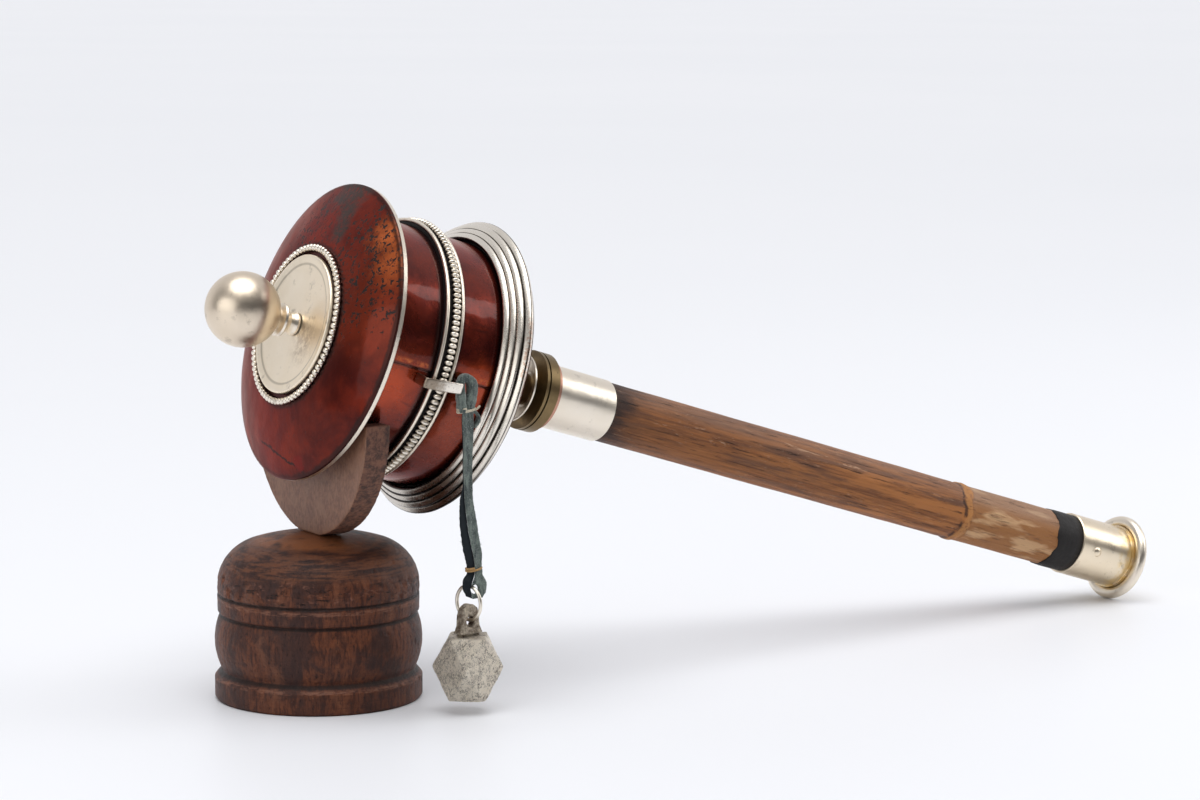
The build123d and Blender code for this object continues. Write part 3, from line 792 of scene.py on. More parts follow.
def whittle(look):
    """Peeled stretch beyond the node, the node and its dark rim; returns the peeled relief."""
    place = look.z + (look.noise(6.0, 4) - 0.5) * 5.0
    beyond = place.rise(NODE_S - 0.6, NODE_S - 2.4)
    pale = look.noise(4.2, 3, 0.5, stretch=3.6, shift=(5, 5, 5), warp=0.15)
    peeled = look.mix(pale.rise(0.5, 0.64), (0.34, 0.145, 0.048), (0.6, 0.36, 0.185))
    vein = look.noise(1.3, 6, 0.7, stretch=9, shift=(1, 9, 4)).rise(0.52, 0.66)
    peeled = look.mix(vein * 0.65, peeled, (0.135, 0.058, 0.03))
    # painted highlight: the peeled stretch lighter along its top
    peeled = look.mix(look.x.rise(1.5, 6.5) * 0.6, peeled, (0.33, 0.215, 0.15))
    look.stain(beyond, peeled)
    node = abs(place - NODE_S).rise(1.9, 0.8) & look.noise(1.8, 4, 0.6).rise(0.3, 0.48)
    look.stain(node, (0.5, 0.225, 0.07), 0.8)
    rim = abs(place - (NODE_S + 2.1)).rise(0.9, 0.3) & look.noise(2.4, 4).rise(0.4, 0.52)
    look.stain(rim, (0.045, 0.022, 0.015), 0.8)
    return pale * beyond


def pitch_look():
    """Dull black pitch."""
    look = Look("black_pitch")
    look.tone = look.mix(look.noise(1.4, 5, 0.6), (0.007, 0.006, 0.006), (0.02, 0.017, 0.016))
    look.bump(look.noise(1.1, 5, 0.6), 0.16)
    return look.done(look.blend(look.noise(2, 4), 0.45, 0.7), 0.0, Specular_IOR_Level=0.3)


def suede_look():
    """Grey-green flesh side of the thong, nappy and soiled."""
    look = Look("thong_suede", wheel=False)
    nap = look.noise(0.42, 7, 0.8)
    cloud = look.noise(1.6, 5, 0.65, stretch=2.5).rise(0.35, 0.65)
    look.tone = look.mix(cloud, (0.15, 0.185, 0.162), (0.034, 0.048, 0.046))
    look.stain(nap.rise(0.52, 0.66), (0.4, 0.46, 0.415), 0.65)
    look.stain(look.noise(0.8, 5, 0.7, shift=(4, 4, 4)).rise(0.58, 0.7), (0.022, 0.034, 0.034), 0.75)
    look.bump(nap, 0.14)
    look.bump(look.noise(0.9, 4), 0.24)
    return look.done(look.blend(nap, 0.8, 0.95), 0.0, Sheen_Weight=0.35, Sheen_Roughness=0.5)


def grain_look():
    """Blue-black grain side of the thong."""
    look = Look("thong_grain", wheel=False)
    look.tone = look.mix(look.noise(1.5, 4), (0.004, 0.007, 0.01), (0.012, 0.017, 0.022))
    look.bump(look.cells(0.35), 0.03)
    look.bump(look.noise(1.2, 4), 0.1)
    return look.done(look.blend(look.noise(1.0, 4), 0.5, 0.68), 0.0, Specular_IOR_Level=0.22)


def thread_look(name, colour):
    """Twisted cotton thread."""
    look = Look(name, wheel=False)
    twist = look.noise(0.14, 4, 0.7, stretch=2)
    look.tone = look.mix(twist.rise(0.35, 0.65), colour, tint(colour, 0.5))
    look.bump(twist, 0.06)
    return look.done(0.85, 0.0, Sheen_Weight=0.2)


def paper_look():
    """Aged plain paper of the hidden scroll."""
    look = Look("scroll_paper")
    rolls = look.noise(0.4, 3, 0.6, stretch=40)
    look.tone = look.mix(rolls, (0.68, 0.58, 0.4), (0.48, 0.38, 0.24))
    look.bump(rolls, 0.03)
    return look.done(0.85)


# --- stage ---
OVERHEAD_WIDTH = 58.0     # degrees across the overhead light
OVERHEAD_STRENGTH = 1.85
FLOOR_HALF = 14.0         # metres from the middle of the floor to its edge
ROOM_DEPTH = (0.53, 0.85, 0)               # way from the camera into the room
ROOM_FRONT = ((0.0, 0.03), (0.45, 0.06), (1.0, 0.55))
ROOM_BACK = ((0.0, 0.86), (0.35, 0.80), (1.0, 0.55))


def lamp(name, kind, way, power, **settings):
    """Light that shines a way; power is in watts, or W/m2 for a sun."""
    data = bpy.data.lights.new(name, kind)
    data.energy = power
    for key, value in settings.items():
        setattr(data, key, value)
    obj = place_object(name, data)
    obj.rotation_euler = Vector(way).to_track_quat("-Z", "Y").to_euler()
    return obj


def soft_light(name, place, aim, size, power):
    """Large soft rectangular light, in metres and watts."""
    way = Vector(aim) - Vector(place)
    lamp(name, "AREA", way, power, shape="RECTANGLE", size=size[0], size_y=size[1]).location = place


def add_room():
    """Dim room in front, a pale wall behind the wheel's far side."""
    world = bpy.data.worlds.new("room")
    world.use_nodes = True
    tree = world.node_tree
    place = add_node(tree, "ShaderNodeTexCoord").outputs["Generated"]
    height = add_node(tree, "ShaderNodeSeparateXYZ", {0: place}).outputs["Z"]
    depth = add_node(tree, "ShaderNodeVectorMath", {0: place, 1: ROOM_DEPTH}, operation="DOT_PRODUCT")
    limits = {"Value": depth.outputs["Value"], "From Min": -0.10, "From Max": 0.45}
    side = add_node(tree, "ShaderNodeMapRange", limits, interpolation_type="SMOOTHSTEP")
    mix = add_node(tree, "ShaderNodeMix", {"Factor": side.outputs["Result"]}, data_type="RGBA")
    for socket, tones in zip((6, 7), (ROOM_FRONT, ROOM_BACK)):
        ramp = add_node(tree, "ShaderNodeValToRGB", {0: height})
        ramp.color_ramp.elements.new(0.5)
        for element, (at, value) in zip(ramp.color_ramp.elements, tones):
            element.position = at
            element.color = (value, value, value * 1.03, 1)
        tree.links.new(ramp.outputs["Color"], mix.inputs[socket])
    tree.links.new(mix.outputs[2], tree.nodes["Background"].inputs["Color"])
    bpy.context.scene.world = world


def add_stage():
    """Pale seamless floor, soft light from above and the sides, and a dim room."""
    mesh = bpy.data.meshes.new("floor")
    corners = [(FLOOR_HALF * x, FLOOR_HALF * y, 0) for x, y in ((-1, -1), (1, -1), (1, 1), (-1, 1))]
    mesh.from_pydata(corners, [], [(0, 1, 2, 3)])
    look = Look("pale_floor", wheel=False)
    look.tone = look.mix(look.noise(900, 2), (0.86, 0.87, 0.90), (0.82, 0.835, 0.87))
    mesh.materials.append(look.done(look.blend(look.noise(400, 3), 0.42, 0.50)))
    place_object("floor", mesh)
    lamp("overhead", "SUN", (0.06, 0.12, -1), OVERHEAD_STRENGTH, angle=math.radians(OVERHEAD_WIDTH))
    soft_light("left_side", (-1.15, -0.22, 0.46), (0.0, 0.0, 0.10), (1.3, 0.70), 4.3)
    soft_light("right_side", (1.10, -0.45, 0.65), (0.05, 0.0, 0.08), (0.6, 0.6), 3.0)
    add_room()
    bpy.context.scene.view_settings.view_transform = "Standard"


# --- drum ---
SEAM_ANGLE = -5.9         # lap seam of the wall, degrees from the near side
SEAM_STEP = 0.35
SEAM_REACH = 11.0         # degrees over which the lap's step fades
LOOP_ANGLE = -8.2
LOOP_WIDTH = 2.95
LOOP_THICK = 0.9
LOOP_SKEW = 1.5           # degrees its front end hangs lower
FLANGE_EDGE = 1.25
LID_FLAT_R = 23.0         # radius of the lid's flat top
LID_BULGE = 0.85
LID_SHEET = 0.8
DISH_STEP_R = 17.0        # radius of the faint step in the dish
LID_BEADS = 78
BAND_BEADS = 145


def make_lid(look):
    """Spun lid: a flat top and a bulging slope, beaten slightly out of true."""
    high, bore = extent("lid")[1:3]
    rim = extent("lid_rim_band")[3] - 0.02
    slope = []
    for k in range(31):
        share = k / 30
        radius = LID_FLAT_R + share * (rim - LID_FLAT_R)
        slope.append((radius, high * (1 - share) + 4 * LID_BULGE * share * (1 - share)))
    outer = [(bore + share * (LID_FLAT_R - bore), high) for share in (0, 0.25, 0.5, 0.75)] + slope
    inner = [(radius, along - LID_SHEET) for radius, along in reversed(outer) if radius < rim - 0.6]
    outer += [(rim + 0.05, -0.15), (rim + 0.05, -0.62), (rim - 0.5, -0.62)]

    def beaten(point, radius, angle, along):
        dent = 0.16 * wavy((point.x, point.y, 3), 11) + 0.05 * wavy((point.x, point.y, 9), 4)
        fade = clamped((radius - 24) / 4) * clamped((rim - radius) / 1.5)
        return point + Vector((0, 0, dent * fade))

    lathed("lid_shell", outer + inner, ["lid"], look, "red_copper", steps=288, shift=beaten)


def make_dish(look):
    """Silver plate dished towards the neck, with a faint step inside its raised edge."""
    low, high, bore, rim = extent("lid_dish")
    floor = extent("knob_neck")[0] - 0.3
    outline = [(bore, low), (rim - 0.4, low), (rim, low + 0.5), (rim, high - 0.2), (rim - 0.35, high)]
    outline += [(rim - 1.1, high - 0.10)]
    for out, down in ((0.6, 0.28), (0.15, 0.33), (-0.2, 0.45)):
        outline.append((DISH_STEP_R + out, high - down))
    for k in range(1, 15):
        share = 1 - k / 14
        radius = bore + share * (DISH_STEP_R - 0.2 - bore)
        outline.append((radius, floor + (high - 0.45 - floor) * share ** 1.7))

    def beaten(point, radius, angle, along):
        fade = clamped((radius - 4) / 4) * clamped((rim - radius) / 2)
        return point + Vector((0, 0, 0.05 * fade * wavy((point.x, point.y, 0), 6)))

    lathed("dish_plate", outline, ["lid_dish"], look, "silver", steps=192, shift=beaten)


def make_bead_rings(look):
    """Beaded wires of the lid and of the band, each bead a little uneven."""
    low, high, inner, outer = extent("lid_bead_ring")
    middle_r = (inner + outer) / 2
    half = (outer - inner) / 2
    wire = []
    for a, b in round_section(1.0):
        wire.append((middle_r + 0.55 * half * a, low + 0.5 * half + 0.45 * half * b))
    beads = bead_ring(middle_r, (low + high) / 2, LID_BEADS, (1.08 * half, 0.92 * half, 0.97 * half), 0.06)
    shape = joined([beads, skin(turned(wire, 192), looped=True)])
    piece("lid_beads", shape, "drum", ["lid_bead_ring"], look)
    low, high, inner, outer = extent("band_bead_wire")
    middle_r = (inner + outer) / 2
    beads = bead_ring(middle_r, (low + high) / 2, BAND_BEADS, (0.95, 0.74, 1.28), 0.05)
    piece("band_beads", beads, "drum", ["band_bead_wire"], look)


def make_wall(look):
    """Sheet wall lapped along a seam on the near side, with shallow dents."""
    low, high, inner, outer = extent("drum_wall")
    angles = [SEAM_ANGLE + 0.02 + 359.96 * k / 420 for k in range(421)]
    heights = [high + (low - high) * k / 46 for k in range(47)]

    def lapped(point, radius, angle, along):
        outside = radius > inner + 0.1
        lap = SEAM_STEP * max(0.0, 1 - (angle - SEAM_ANGLE) % 360 / SEAM_REACH)
        dent = 0.13 * wavy(point, 12) + 0.04 * wavy(point, 4.5)
        edge = min(1.0, (high - along) / 2, (along - low) / 2) if outside else 0.0
        grow = (radius + lap * outside + dent * max(0.0, edge) - 0.1 * (edge > 0)) / radius
        return Vector((point.x * grow, point.y * grow, point.z))

    outline = [(outer, h) for h in heights] + [(inner, h) for h in reversed(heights)]
    lathed("wall_sheet", outline, ["drum_wall"], look, "red_copper", angles=angles, shift=lapped)


def make_loop(look):
    """Staple of flat strip over the band, bent round at both ends into the wall."""
    low, high, inner, outer = extent("strap_loop")
    middle = outer - LOOP_THICK / 2
    bend = 1.9
    route = [(inner + 0.2, high), (middle - 2.2, high), (middle - 0.25, high), (middle, high - bend)]
    route += [(middle + 0.1, (low + high) / 2), (middle, low + bend), (middle - 0.25, low)]
    route += [(middle - 2.2, low), (inner + 0.2, low)]
    inset = LOOP_THICK / 2
    points = []
    for radius, along in route:
        along = min(high - inset, max(low + inset, along))
        points.append(about_axis(radius, LOOP_ANGLE - LOOP_SKEW * (along - low) / (high - low), along))
    line = route_line(points, 16)
    side = about_axis(1, LOOP_ANGLE + 90)

    def section(i):
        swell = 1 + 0.03 * wavy(line[i], 2.5)
        return flat_section(LOOP_WIDTH * swell, LOOP_THICK * (2 - swell), 0.42)

    piece("band_staple", skin(swept(line, section, side)), "drum", ["strap_loop"], look)


def reed_outline(radius, along, half, flat):
    """Flat-topped reed seen across its length, leaning with the steps of the base."""
    size = math.hypot(*REED_STEP)
    way = (REED_STEP[0] / size, REED_STEP[1] / size)
    outline = []
    for k in range(32):
        turn = 2 * math.pi * k / 32
        a = half * math.copysign(abs(math.cos(turn)) ** 0.5, math.cos(turn))
        b = half * flat * math.copysign(abs(math.sin(turn)) ** 0.62, math.sin(turn))
        outline.append((radius + a * way[0] - b * way[1], along + a * way[1] + b * way[0]))
    return outline


def make_reeds(reed, flange):
    """Flat reeds stepped out round the base, and the flange under them."""
    for number in (1, 2, 3):
        node = f"base_reed_{number}"
        low, high, inner, outer = extent(node)
        outline = reed_outline((inner + outer) / 2, (low + high) / 2, (high - low) / 2, 0.92)
        lathed(f"reed_{number}", outline, [node], reed, "silver", steps=360, shift=hammered)
    low, high, inner, outer = extent("base_flange")
    rim = reed_outline(outer - FLANGE_EDGE, low + FLANGE_EDGE, FLANGE_EDGE - 0.12, 0.88)
    web = [(inner, low + 0.3), (inner, high - 0.62), (outer - 2.0, high - 0.62), (outer - 2.0, low + 0.3)]
    shape = joined([skin(turned(part, 360, shift=hammered), looped=True) for part in (rim, web)])
    piece("flange", shape, "drum", ["base_flange"], flange)


def hammered(point, radius, angle, along):
    """Hand-made unevenness of the rims."""
    return point + point.normalized() * 0.07 * wavy(point, 7)


# --- thong ---
EYE_DEPTH = 2.9
EYE_THICK = 2.3
EYE_SHIFT = 2.1
HINGE = Vector(JOINTS["strap_swing"]["pos_m"]) / MM
LUG_HEIGHT = 8.2
EYELET_R = 1.3
RING_TURN = 13.0          # degrees the ring's plane is turned about the vertical
RING_WIRE = 0.5
THREAD_PITCH = 1.9        # rise of a binding's turn, in radii of its thread
THONG_THICK = 0.75
RING_SHIFT = 0.3          # how far to the right of its CAD solid the ring hangs
RING_SEAT = Vector(JOINTS["ring_swing"]["pos_m"]) / MM


def make_eye(look):
    """Turn of thong round the staple's rear leg, its two tails meeting in the upper binding."""
    low, high = node_box("strap_eye")
    middle_x = (low.x + high.x) / 2 + EYE_SHIFT
    y = (low.y + high.y) / 2 + 0.55
    top = high.z - EYE_THICK / 2 + 0.3
    tail = low.z - 1.0
    half = (high.x - low.x) / 2 - EYE_THICK / 2 + 0.2
    neck = HINGE.x + 0.7
    route = [
        (neck - 0.9, y - 1.2, tail), (neck - 1.1, y - 0.9, tail + 1.7),
        (middle_x - half, y - 0.2, top - 3.9), (middle_x - half, y + 0.15, top - 1.3),
        (middle_x - 0.9, y + 0.2, top), (middle_x + 0.9, y + 0.1, top),
        (middle_x + half + 0.2, y - 0.2, top - 1.4), (middle_x + half + 0.1, y - 0.6, top - 3.9),
        (neck + 1.2, y - 1.2, tail + 1.9), (neck + 0.9, y - 1.3, tail),
    ]
    line = route_line(route, 16)

    def side(i):
        tilt = 0.35 * math.sin(5 * i / len(line))
        return Vector((math.sin(tilt), math.cos(tilt), 0.1))

    def section(i):
        grow = 1 + 0.12 * wavy(line[i], 1.5)
        return flat_section(EYE_DEPTH * grow, EYE_THICK * grow, 0.6)

    loose = route_line([
        (neck + 0.8, y - 1.4, tail + 0.2), (neck + 2.4, y - 1.3, tail + 0.6),
        (neck + 4.4, y - 1.0, tail - 1.2), (neck + 3.9, y - 1.0, tail - 3.2),
        (neck + 2.5, y - 1.1, tail - 3.9),
    ], 14)

    def flap(i):
        return flat_section(2.0 * (1 + 0.2 * wavy(loose[i], 1.2)), 0.85, 0.3)

    tail_strip = skin(swept(loose, flap, Vector((0.15, 1, 0.35))))
    shape = joined([skin(swept(line, section, side)), tail_strip])
    piece("thong_eye", shape, "drum", ["strap_eye"], look, WORLD)


def make_binding(name, node, body, look, turns, thread, centre, half_sizes, lean, tails):
    """Thread wound round a flat oval, with loose tails."""
    steps = 40
    line = []
    for k in range(int(turns * steps) + 1):
        turn = 2 * math.pi * k / steps
        rise = (k / (turns * steps) - 0.5) * turns * thread * THREAD_PITCH
        line.append(Vector((
            centre.x + half_sizes[0] * math.cos(turn),
            centre.y + half_sizes[1] * math.sin(turn),
            centre.z + rise + lean * math.cos(turn),
        )))
    parts = [skin(swept(line, round_section(thread, 10), Vector((0, 0, 1))))]
    for tail in tails:
        route = route_line([centre + Vector(point) for point in tail], 10)
        parts.append(skin(swept(route, round_section(thread * 0.8, 8), Vector((0.3, 1, 0.2)))))
    piece(name, joined(parts), body, [node], look, WORLD)


# Share of the drop, the fold's place across, and the widths of the near and the far leaf.
THONG_STATIONS = (
    (0.00, -1.7, 3.4, 3.2),
    (0.07, -1.9, 3.6, 3.3),
    (0.26, -1.5, 2.8, 2.6),
    (0.45, -1.1, 2.6, 1.2),
    (0.63, -0.7, 3.0, 2.2),
    (0.75, -0.3, 2.9, 2.6),
    (0.83, 0.0, 2.1, 2.3),
    (0.87, -0.1, 2.3, 2.1),
    (0.93, -1.2, 4.8, 2.8),
    (0.97, -1.2, 4.7, 2.7),
    (1.00, -1.0, 3.3, 1.8),
)


def station(drop, column):
    """Value of a station's column at a share of the drop, eased between neighbours."""
    for here, after in zip(THONG_STATIONS, THONG_STATIONS[1:]):
        if drop <= after[0]:
            share = eased((drop - here[0]) / (after[0] - here[0]))
            return here[column] + (after[column] - here[column]) * share
    return THONG_STATIONS[-1][column]


def leaf(points, directions, widths, thick):
    """Closed strip whose section runs from the fold out along a direction at each point."""
    rings = []
    shares = (0, 0.06, 0.3, 0.55, 0.8, 0.95, 1)
    for point, direction, width in zip(points, directions, widths):
        out = Vector((0, 0, 1)).cross(direction).normalized()
        ring = []
        for share, offset in [(a, -1) for a in shares] + [(a, 1) for a in reversed(shares)]:
            spot = point + direction * width * share
            fray = 0.30 * wavy(spot, 0.7) * max(0, share - 0.5)
            soft = (0.45 if share in (0, 1) else 1.0) * (1 + 0.25 * wavy(spot, 1.1, offset))
            cup = 0.25 * math.sin(math.pi * share)
            rise = out * (offset * thick / 2 * soft + cup)
            ring.append(point + direction * (width * share + fray) + rise)
        rings.append(ring)
    return skin(rings)


def frayed(points, directions, widths, count, seed):
    """Short loose fibres along a leaf's free edge."""
    chance = random.Random(seed)
    parts = []
    for _ in range(count):
        i = int(len(points) * chance.uniform(0.38, 0.84))
        start = points[i] + directions[i] * (widths[i] - 0.15)
        start += Vector((0, chance.uniform(-0.3, 0.3), 0))
        way = directions[i] + Vector((0, chance.uniform(-0.5, 0.5), chance.uniform(-0.9, 0.7)))
        reach = chance.uniform(0.30, 0.75)
        line = [start + way * reach * k / 3 + Vector((0, 0, chance.uniform(-0.08, 0.08))) for k in range(4)]
        thick = chance.uniform(0.05, 0.09)
        rings = swept(line, lambda k: round_section(thick * (1 - 0.22 * k), 5), Vector((0.2, 1, 0.3)))
        parts.append(skin(rings))
    return parts


def make_thong(suede, grain):
    """Thong folded lengthways: a suede leaf to the right and a dark one that opens out lower down."""
    low, high = node_box("strap_thong")
    top = Vector((HINGE.x + 0.8, HINGE.y, high.z + 0.4))
    foot = Vector((RING_SEAT.x + 1.1, HINGE.y - 1.6, low.z))
    route = [top, (24.9, -40.6, 76.0), (24.3, -40.6, 62.0), (25.1, -40.8, 50.0), (26.6, -41.5, 40.0), foot]
    line = route_line(route, 22)
    long = sum((b - a).length for a, b in zip(line, line[1:]))
    near_way = Vector((0.99, 0.13, 0)).normalized()
    left_way = Vector((-0.62, 0.785, 0)).normalized()
    foot_way = Vector((-0.92, 0.12, 0.38)).normalized()
    folds, near_ways, far_ways, near_widths, far_widths = [], [], [], [], []
    for point in line:
        drop = (top.z - point.z) / (top.z - foot.z)
        opening = eased(clamped((drop - 0.34) / 0.20))
        spread = clamped((drop - 0.86) / 0.06)
        aside = left_way * (1 - spread) + foot_way * spread
        folds.append(point + Vector((station(drop, 1), -0.45 - 0.35 * spread, 0)))
        near_ways.append(near_way)
        far_ways.append((near_way * (1 - opening) + aside * opening).normalized())
        near_widths.append(station(drop, 2))
        far_widths.append(station(drop, 3))
    near = leaf(folds, near_ways, near_widths, THONG_THICK)
    far_folds = [fold + Vector((0.12, 0.62, 0)) for fold in folds]
    far = leaf(far_folds, far_ways, far_widths, THONG_THICK)
    fibres = frayed(folds, near_ways, near_widths, 110, 5) + frayed(far_folds, far_ways, far_widths, 30, 8)
    obj = piece("thong", joined([near, far] + fibres), None, ["strap_thong"], suede, WORLD)
    obj.data.materials.append(grain)
    for polygon in obj.data.polygons:
        if len(near[1]) <= polygon.index < len(near[1]) + len(far[1]):
            polygon.material_index = 1
    punch_eyelet(obj)
    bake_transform(obj)
    return obj, line, long


def punch_eyelet(obj):
    """Hole through the thong's foot for the ring."""
    x, y, z = RING_SEAT.x + 1.0, HINGE.y - 1.5, RING_SEAT.z - 0.5
    rings = []
    for depth in (-5.0, 5.0):
        rings.append([Vector((x + a, y + depth, z + b)) for a, b in round_section(EYELET_R, 20)])
    punch = place_object("punch", new_mesh("punch", skin(rings)))
    cut = obj.modifiers.new("eyelet", "BOOLEAN")
    cut.object = punch
    cut.operation = "DIFFERENCE"
    cut.solver = "EXACT"
    apply_modifiers(obj)
    bpy.data.meshes.remove(punch.data)


def make_ring(look):
    """Jump ring of round wire, hanging a little to the right in the lug's hole."""
    low, high = node_box("jump_ring")
    centre = (low + high) / 2 + Vector((RING_SHIFT, 0, 0))
    turn = math.radians(RING_TURN)
    across = Vector((math.sin(turn), -math.cos(turn), 0))
    radius = (high.z - low.z) / 2 - RING_WIRE + 0.2
    line = []
    for k in range(72):
        angle = 2 * math.pi * k / 72
        line.append(centre + radius * (across * math.cos(angle) + Vector((0, 0, math.sin(angle)))))
    normal = across.cross(Vector((0, 0, 1)))
    rings = swept(line, lambda k: round_section(RING_WIRE, 16), normal, looped=True)
    return piece("ring_wire", skin(rings, looped=True), "ring", ["jump_ring"], look, WORLD)


def make_weight(look):
    """Cast weight: hammered faces, blunt edges and a lug that spreads into its top."""
    shoulder = node_box("weight")[1].z - LUG_HEIGHT

    def cast(point, normal):
        rough = 0.16 * wavy(point, 2.6) + 0.10 * wavy(point, 1.0, 5) + 0.05 * wavy(point, 0.5, 9) - 0.04
        above = point.z - shoulder
        if 0.05 < above < 3.6:
            rough += 1.0 * (1 - above / 3.6) ** 2 * (1 - abs(normal.z))
        return rough

    return worn_copy("weight", "cast_weight", 0.22, look, "weight", cast, 8)


# --- handle ---
def make_cane(look):
    """Cane: nearly round, with shallow ridges, a swollen node and a whittled stretch beyond it."""
    start = extent("top_ferrule")[0]
    stop = extent("pitch_band")[1]
    body_r = extent("grip")[3] - 0.35
    places = [start + (stop - start) * k / 200 for k in range(201)]
    outline = [(body_r, along) for along in places]
    outline = [(body_r - 0.3, start + 0.6)] + outline + [(body_r - 0.3, stop - 0.6)]

    def grown(point, radius, angle, along):
        unit = about_axis(1, angle)
        radius += 0.13 * wavy((unit.x * 2.2, unit.y * 2.2, along / 26), 1) - 0.10
        radius += 0.05 * wavy((unit.x * 7, unit.y * 7, along / 9), 1, 4)
        away = along - NODE_S - 1.3 * wavy((unit.x * 1.6, unit.y * 1.6, 0), 1, 9)
        radius += 0.42 * math.exp(-(away / 1.15) ** 2) - 0.16 * math.exp(-((away - 2.6) / 0.9) ** 2)
        if away < -1.5:
            facet = abs(math.sin(math.radians(angle * 3.5 + 24 * wavy((0, 0, along / 14), 1, 2))))
            radius -= 0.26 * (1 - facet) * min(1.0, (-1.5 - away) / 3)
        groove = wavy((unit.x * 4.5, unit.y * 4.5, along / 60), 1, 13)
        return about_axis(radius - 0.16 * max(0.0, groove - 0.35) * 3, angle, along)

    piece("cane", skin(turned(outline, 128, shift=grown)), "handle", ["grip"], look)


def make_pitch(look):
    """Band of pitch with a ragged front edge that runs on to the cane."""
    low, high, inner, outer = extent("pitch_band")
    outline = [(inner - 0.1, 0), (outer - 0.35, 0), (outer - 0.1, 0.05), (outer, 0.3), (outer, 0.7)]
    outline += [(outer, 1), (inner - 0.1, 1)]

    def smeared(point, radius, angle, share):
        unit = about_axis(1, angle)
        ragged = 0.9 * wavy((unit.x * 3, unit.y * 3, 0), 1, 3)
        ragged += 0.35 * wavy((unit.x * 9, unit.y * 9, 0), 1, 6)
        front = high + ragged + 0.4
        along = front + share * (low - front)
        swell = 0.06 * wavy((unit.x * 5, unit.y * 5, along / 3), 1, 8) if radius > inner else 0
        return about_axis(radius + swell, angle, along)

    shape = skin(turned(outline, 160, shift=smeared), looped=True)
    piece("pitch_ring", shape, "handle", ["pitch_band"], look)


# --- stand ---
def make_base(look):
    """Turned base with chipped edges; its outline is read from the CAD solid's own rings."""
    corners = {}
    for vertex in NODES["stand_base"].data.vertices:
        point = vertex.co / MM
        radius = math.hypot(point.x, point.y)
        if radius > 5:
            height = round(point.z, 2)
            corners[height] = max(corners.get(height, 0), radius)
    outline = sorted((height, radius) for height, radius in corners.items())
    top = node_box("stand_base")[1].z
    outline.append((top, 0.5))
    path = [Vector((radius, height)) for height, radius in outline]
    fine = [path[0]]
    for a, b in zip(path, path[1:]):
        parts = max(1, math.ceil((b - a).length / 0.35))
        fine.extend(a + (b - a) * k / parts for k in range(1, parts + 1))

    def chipped(point, radius, angle, along):
        hit = max(0.0, 1 - abs(along - CHIPPED_Z) / 4.5) * max(0.0, wavy(point, 2.6, 2) - 0.05) * 1.5
        nick = max(0.0, wavy(point, 1.7, 7) - 0.42) * 1.2
        edge = 1.0 if 4 < along < 42 and radius > 12 else 0.0
        loss = edge * (hit * 0.8 + nick * 0.55 + 0.05 * wavy(point, 1.0, 3)) + 0.03
        grow = (radius - loss) / radius if radius > 2 else 1
        return Vector((point.x * grow, point.y * grow, point.z))

    rings = turned([(p.x, p.y) for p in fine], 420, shift=chipped)
    piece("turned_base", skin(rings), "stand", ["stand_base"], look, WORLD)


def make_cradle(look):
    """Cradle board with broken edges and a coarse sawn rim."""
    def sawn(point, normal):
        rim = 1.0 if abs(normal.x) < 0.5 and normal.z < 0.6 else 0.25
        return rim * (0.16 * wavy((point.x * 0.5, point.y, point.z), 1.6) + 0.08 * wavy(point, 0.7)) - 0.12
    worn_copy("stand_cradle", "cradle_board", 0.42, look, "stand", sawn, 3)


# --- everything ---
def paint(look, *nodes):
    """Gives CAD nodes a material in place of their plain one."""
    for node in nodes:
        mesh = NODES[node].data
        mesh.materials.clear()
        mesh.materials.append(look)


add_camera()
add_stage()

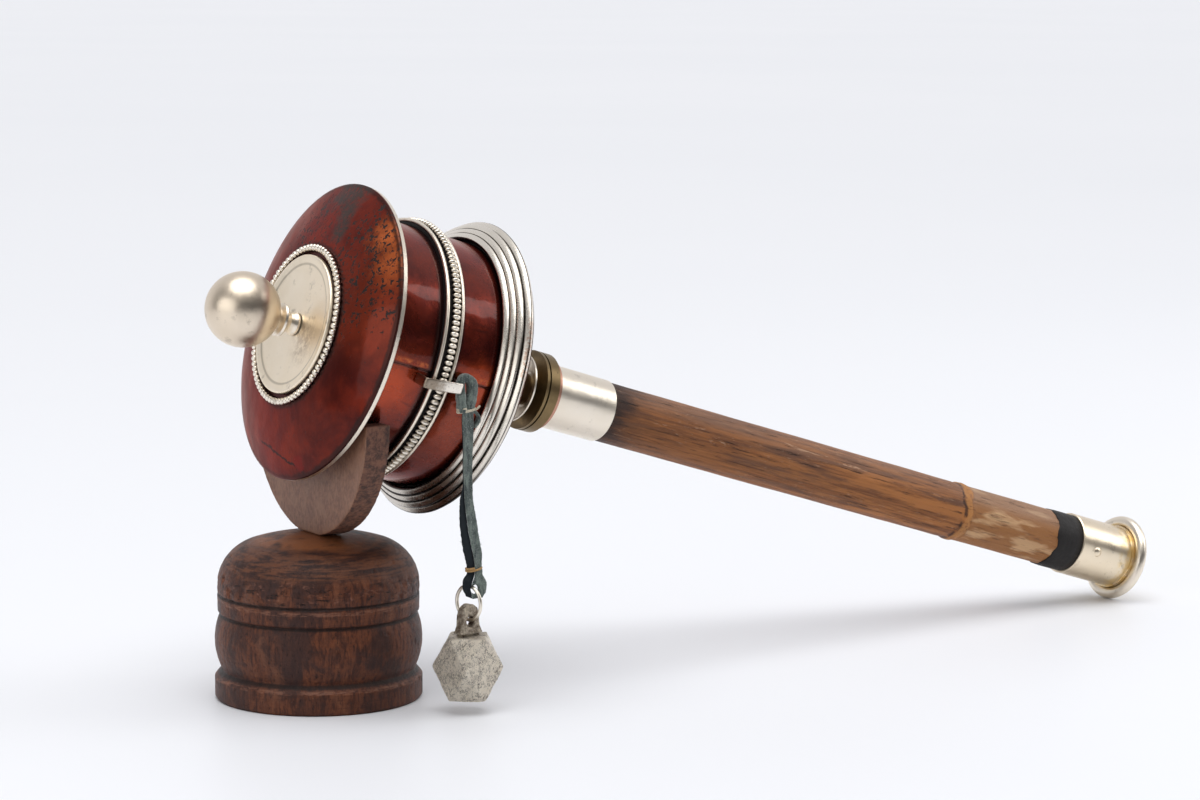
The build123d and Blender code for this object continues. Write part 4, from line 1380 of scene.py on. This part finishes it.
silver = silver_look("warm_silver", (0.88, 0.81, 0.71))
dish_silver = silver_look("dish_silver", (0.96, 0.86, 0.71), dark=0.55, rough=0.30, step=DISH_STEP_R)
bead_silver = silver_look("bead_silver", (0.88, 0.82, 0.73), dark=0.6, rough=0.22)
ball_silver = silver_look("ball_silver", (0.78, 0.68, 0.56), dark=0.55, rough=0.24)
pale_gold = silver_look("pale_gold", (0.88, 0.77, 0.61), (0.20, 0.13, 0.07), 0.60, 0.22, gilt=True)
suede = suede_look()
grain = grain_look()
cream = thread_look("cream_thread", (0.70, 0.62, 0.47))
tan = thread_look("tan_thread", (0.52, 0.30, 0.11))
lid_paint = lid_look()
wall_paint = wall_look()
black = dark_metal_look("blackened", (0.010, 0.008, 0.008))

thong, thong_line, thong_length = make_thong(suede, grain)
make_eye(suede)
strap_low, strap_high = node_box("upper_binding")
make_binding("upper_thread", "upper_binding", "drum", cream, 1.7, 0.36,
             (strap_low + strap_high) / 2 + Vector((1.1, -0.4, -1.3)), (2.5, 1.8), 0.25,
             [[(2.2, -1.2, 0.1), (3.0, -1.4, 0.5), (3.5, -1.3, 1.1)]])
strap_low, strap_high = node_box("lower_binding")
make_binding("lower_thread", "lower_binding", "strap", tan, 1.7, 0.30,
             (strap_low + strap_high) / 2 + Vector((1.3, -0.2, -0.9)), (2.2, 1.8), 0.28, [])
cast = cast_look()
weight = make_weight(cast)
ring = make_ring(bead_silver)

make_lid(lid_paint)
make_dish(dish_silver)
make_bead_rings(bead_silver)
make_wall(wall_paint)
make_loop(staple_look())
paint(wall_paint, "lid_underside")
paint(silver, "lid_rim_band", "knob_neck", "cupped_washer", "top_ferrule", "end_ring",
      "band_front_wire", "band_rear_wire")
paint(ball_silver, "knob_ball")
paint(black, "band_backing", "base_skirt", "spacer_washer", "lid_collar")
make_reeds(reed_look("reed_silver", False), reed_look("flange_silver", True))
paint(dark_metal_look("dark_cover", (0.035, 0.009, 0.008), 0.35), "base_cover")
brass = brass_look("olive_brass", (0.27, 0.19, 0.095))
paint(brass, "thin_brass_washer", "broad_brass_washer", "upper_bush", "thrust_bead", "base_hub")
paint(brass_look("worn_copper", (0.66, 0.36, 0.26)), "copper_collar")
paint(dark_metal_look("dark_iron", (0.035, 0.031, 0.029)), "axle_rod")
paint(pale_gold, "end_ferrule", "end_cap", "ferrule_nail")
paint(paper_look(), "core_tube", "mantra_scroll")
paint(cream, "scroll_tie_upper", "scroll_tie_lower")

make_cane(cane_look())
make_pitch(pitch_look())
wood = turned_wood_look()
make_base(wood)
make_cradle(board_look())
paint(wood, "stand_dowel")
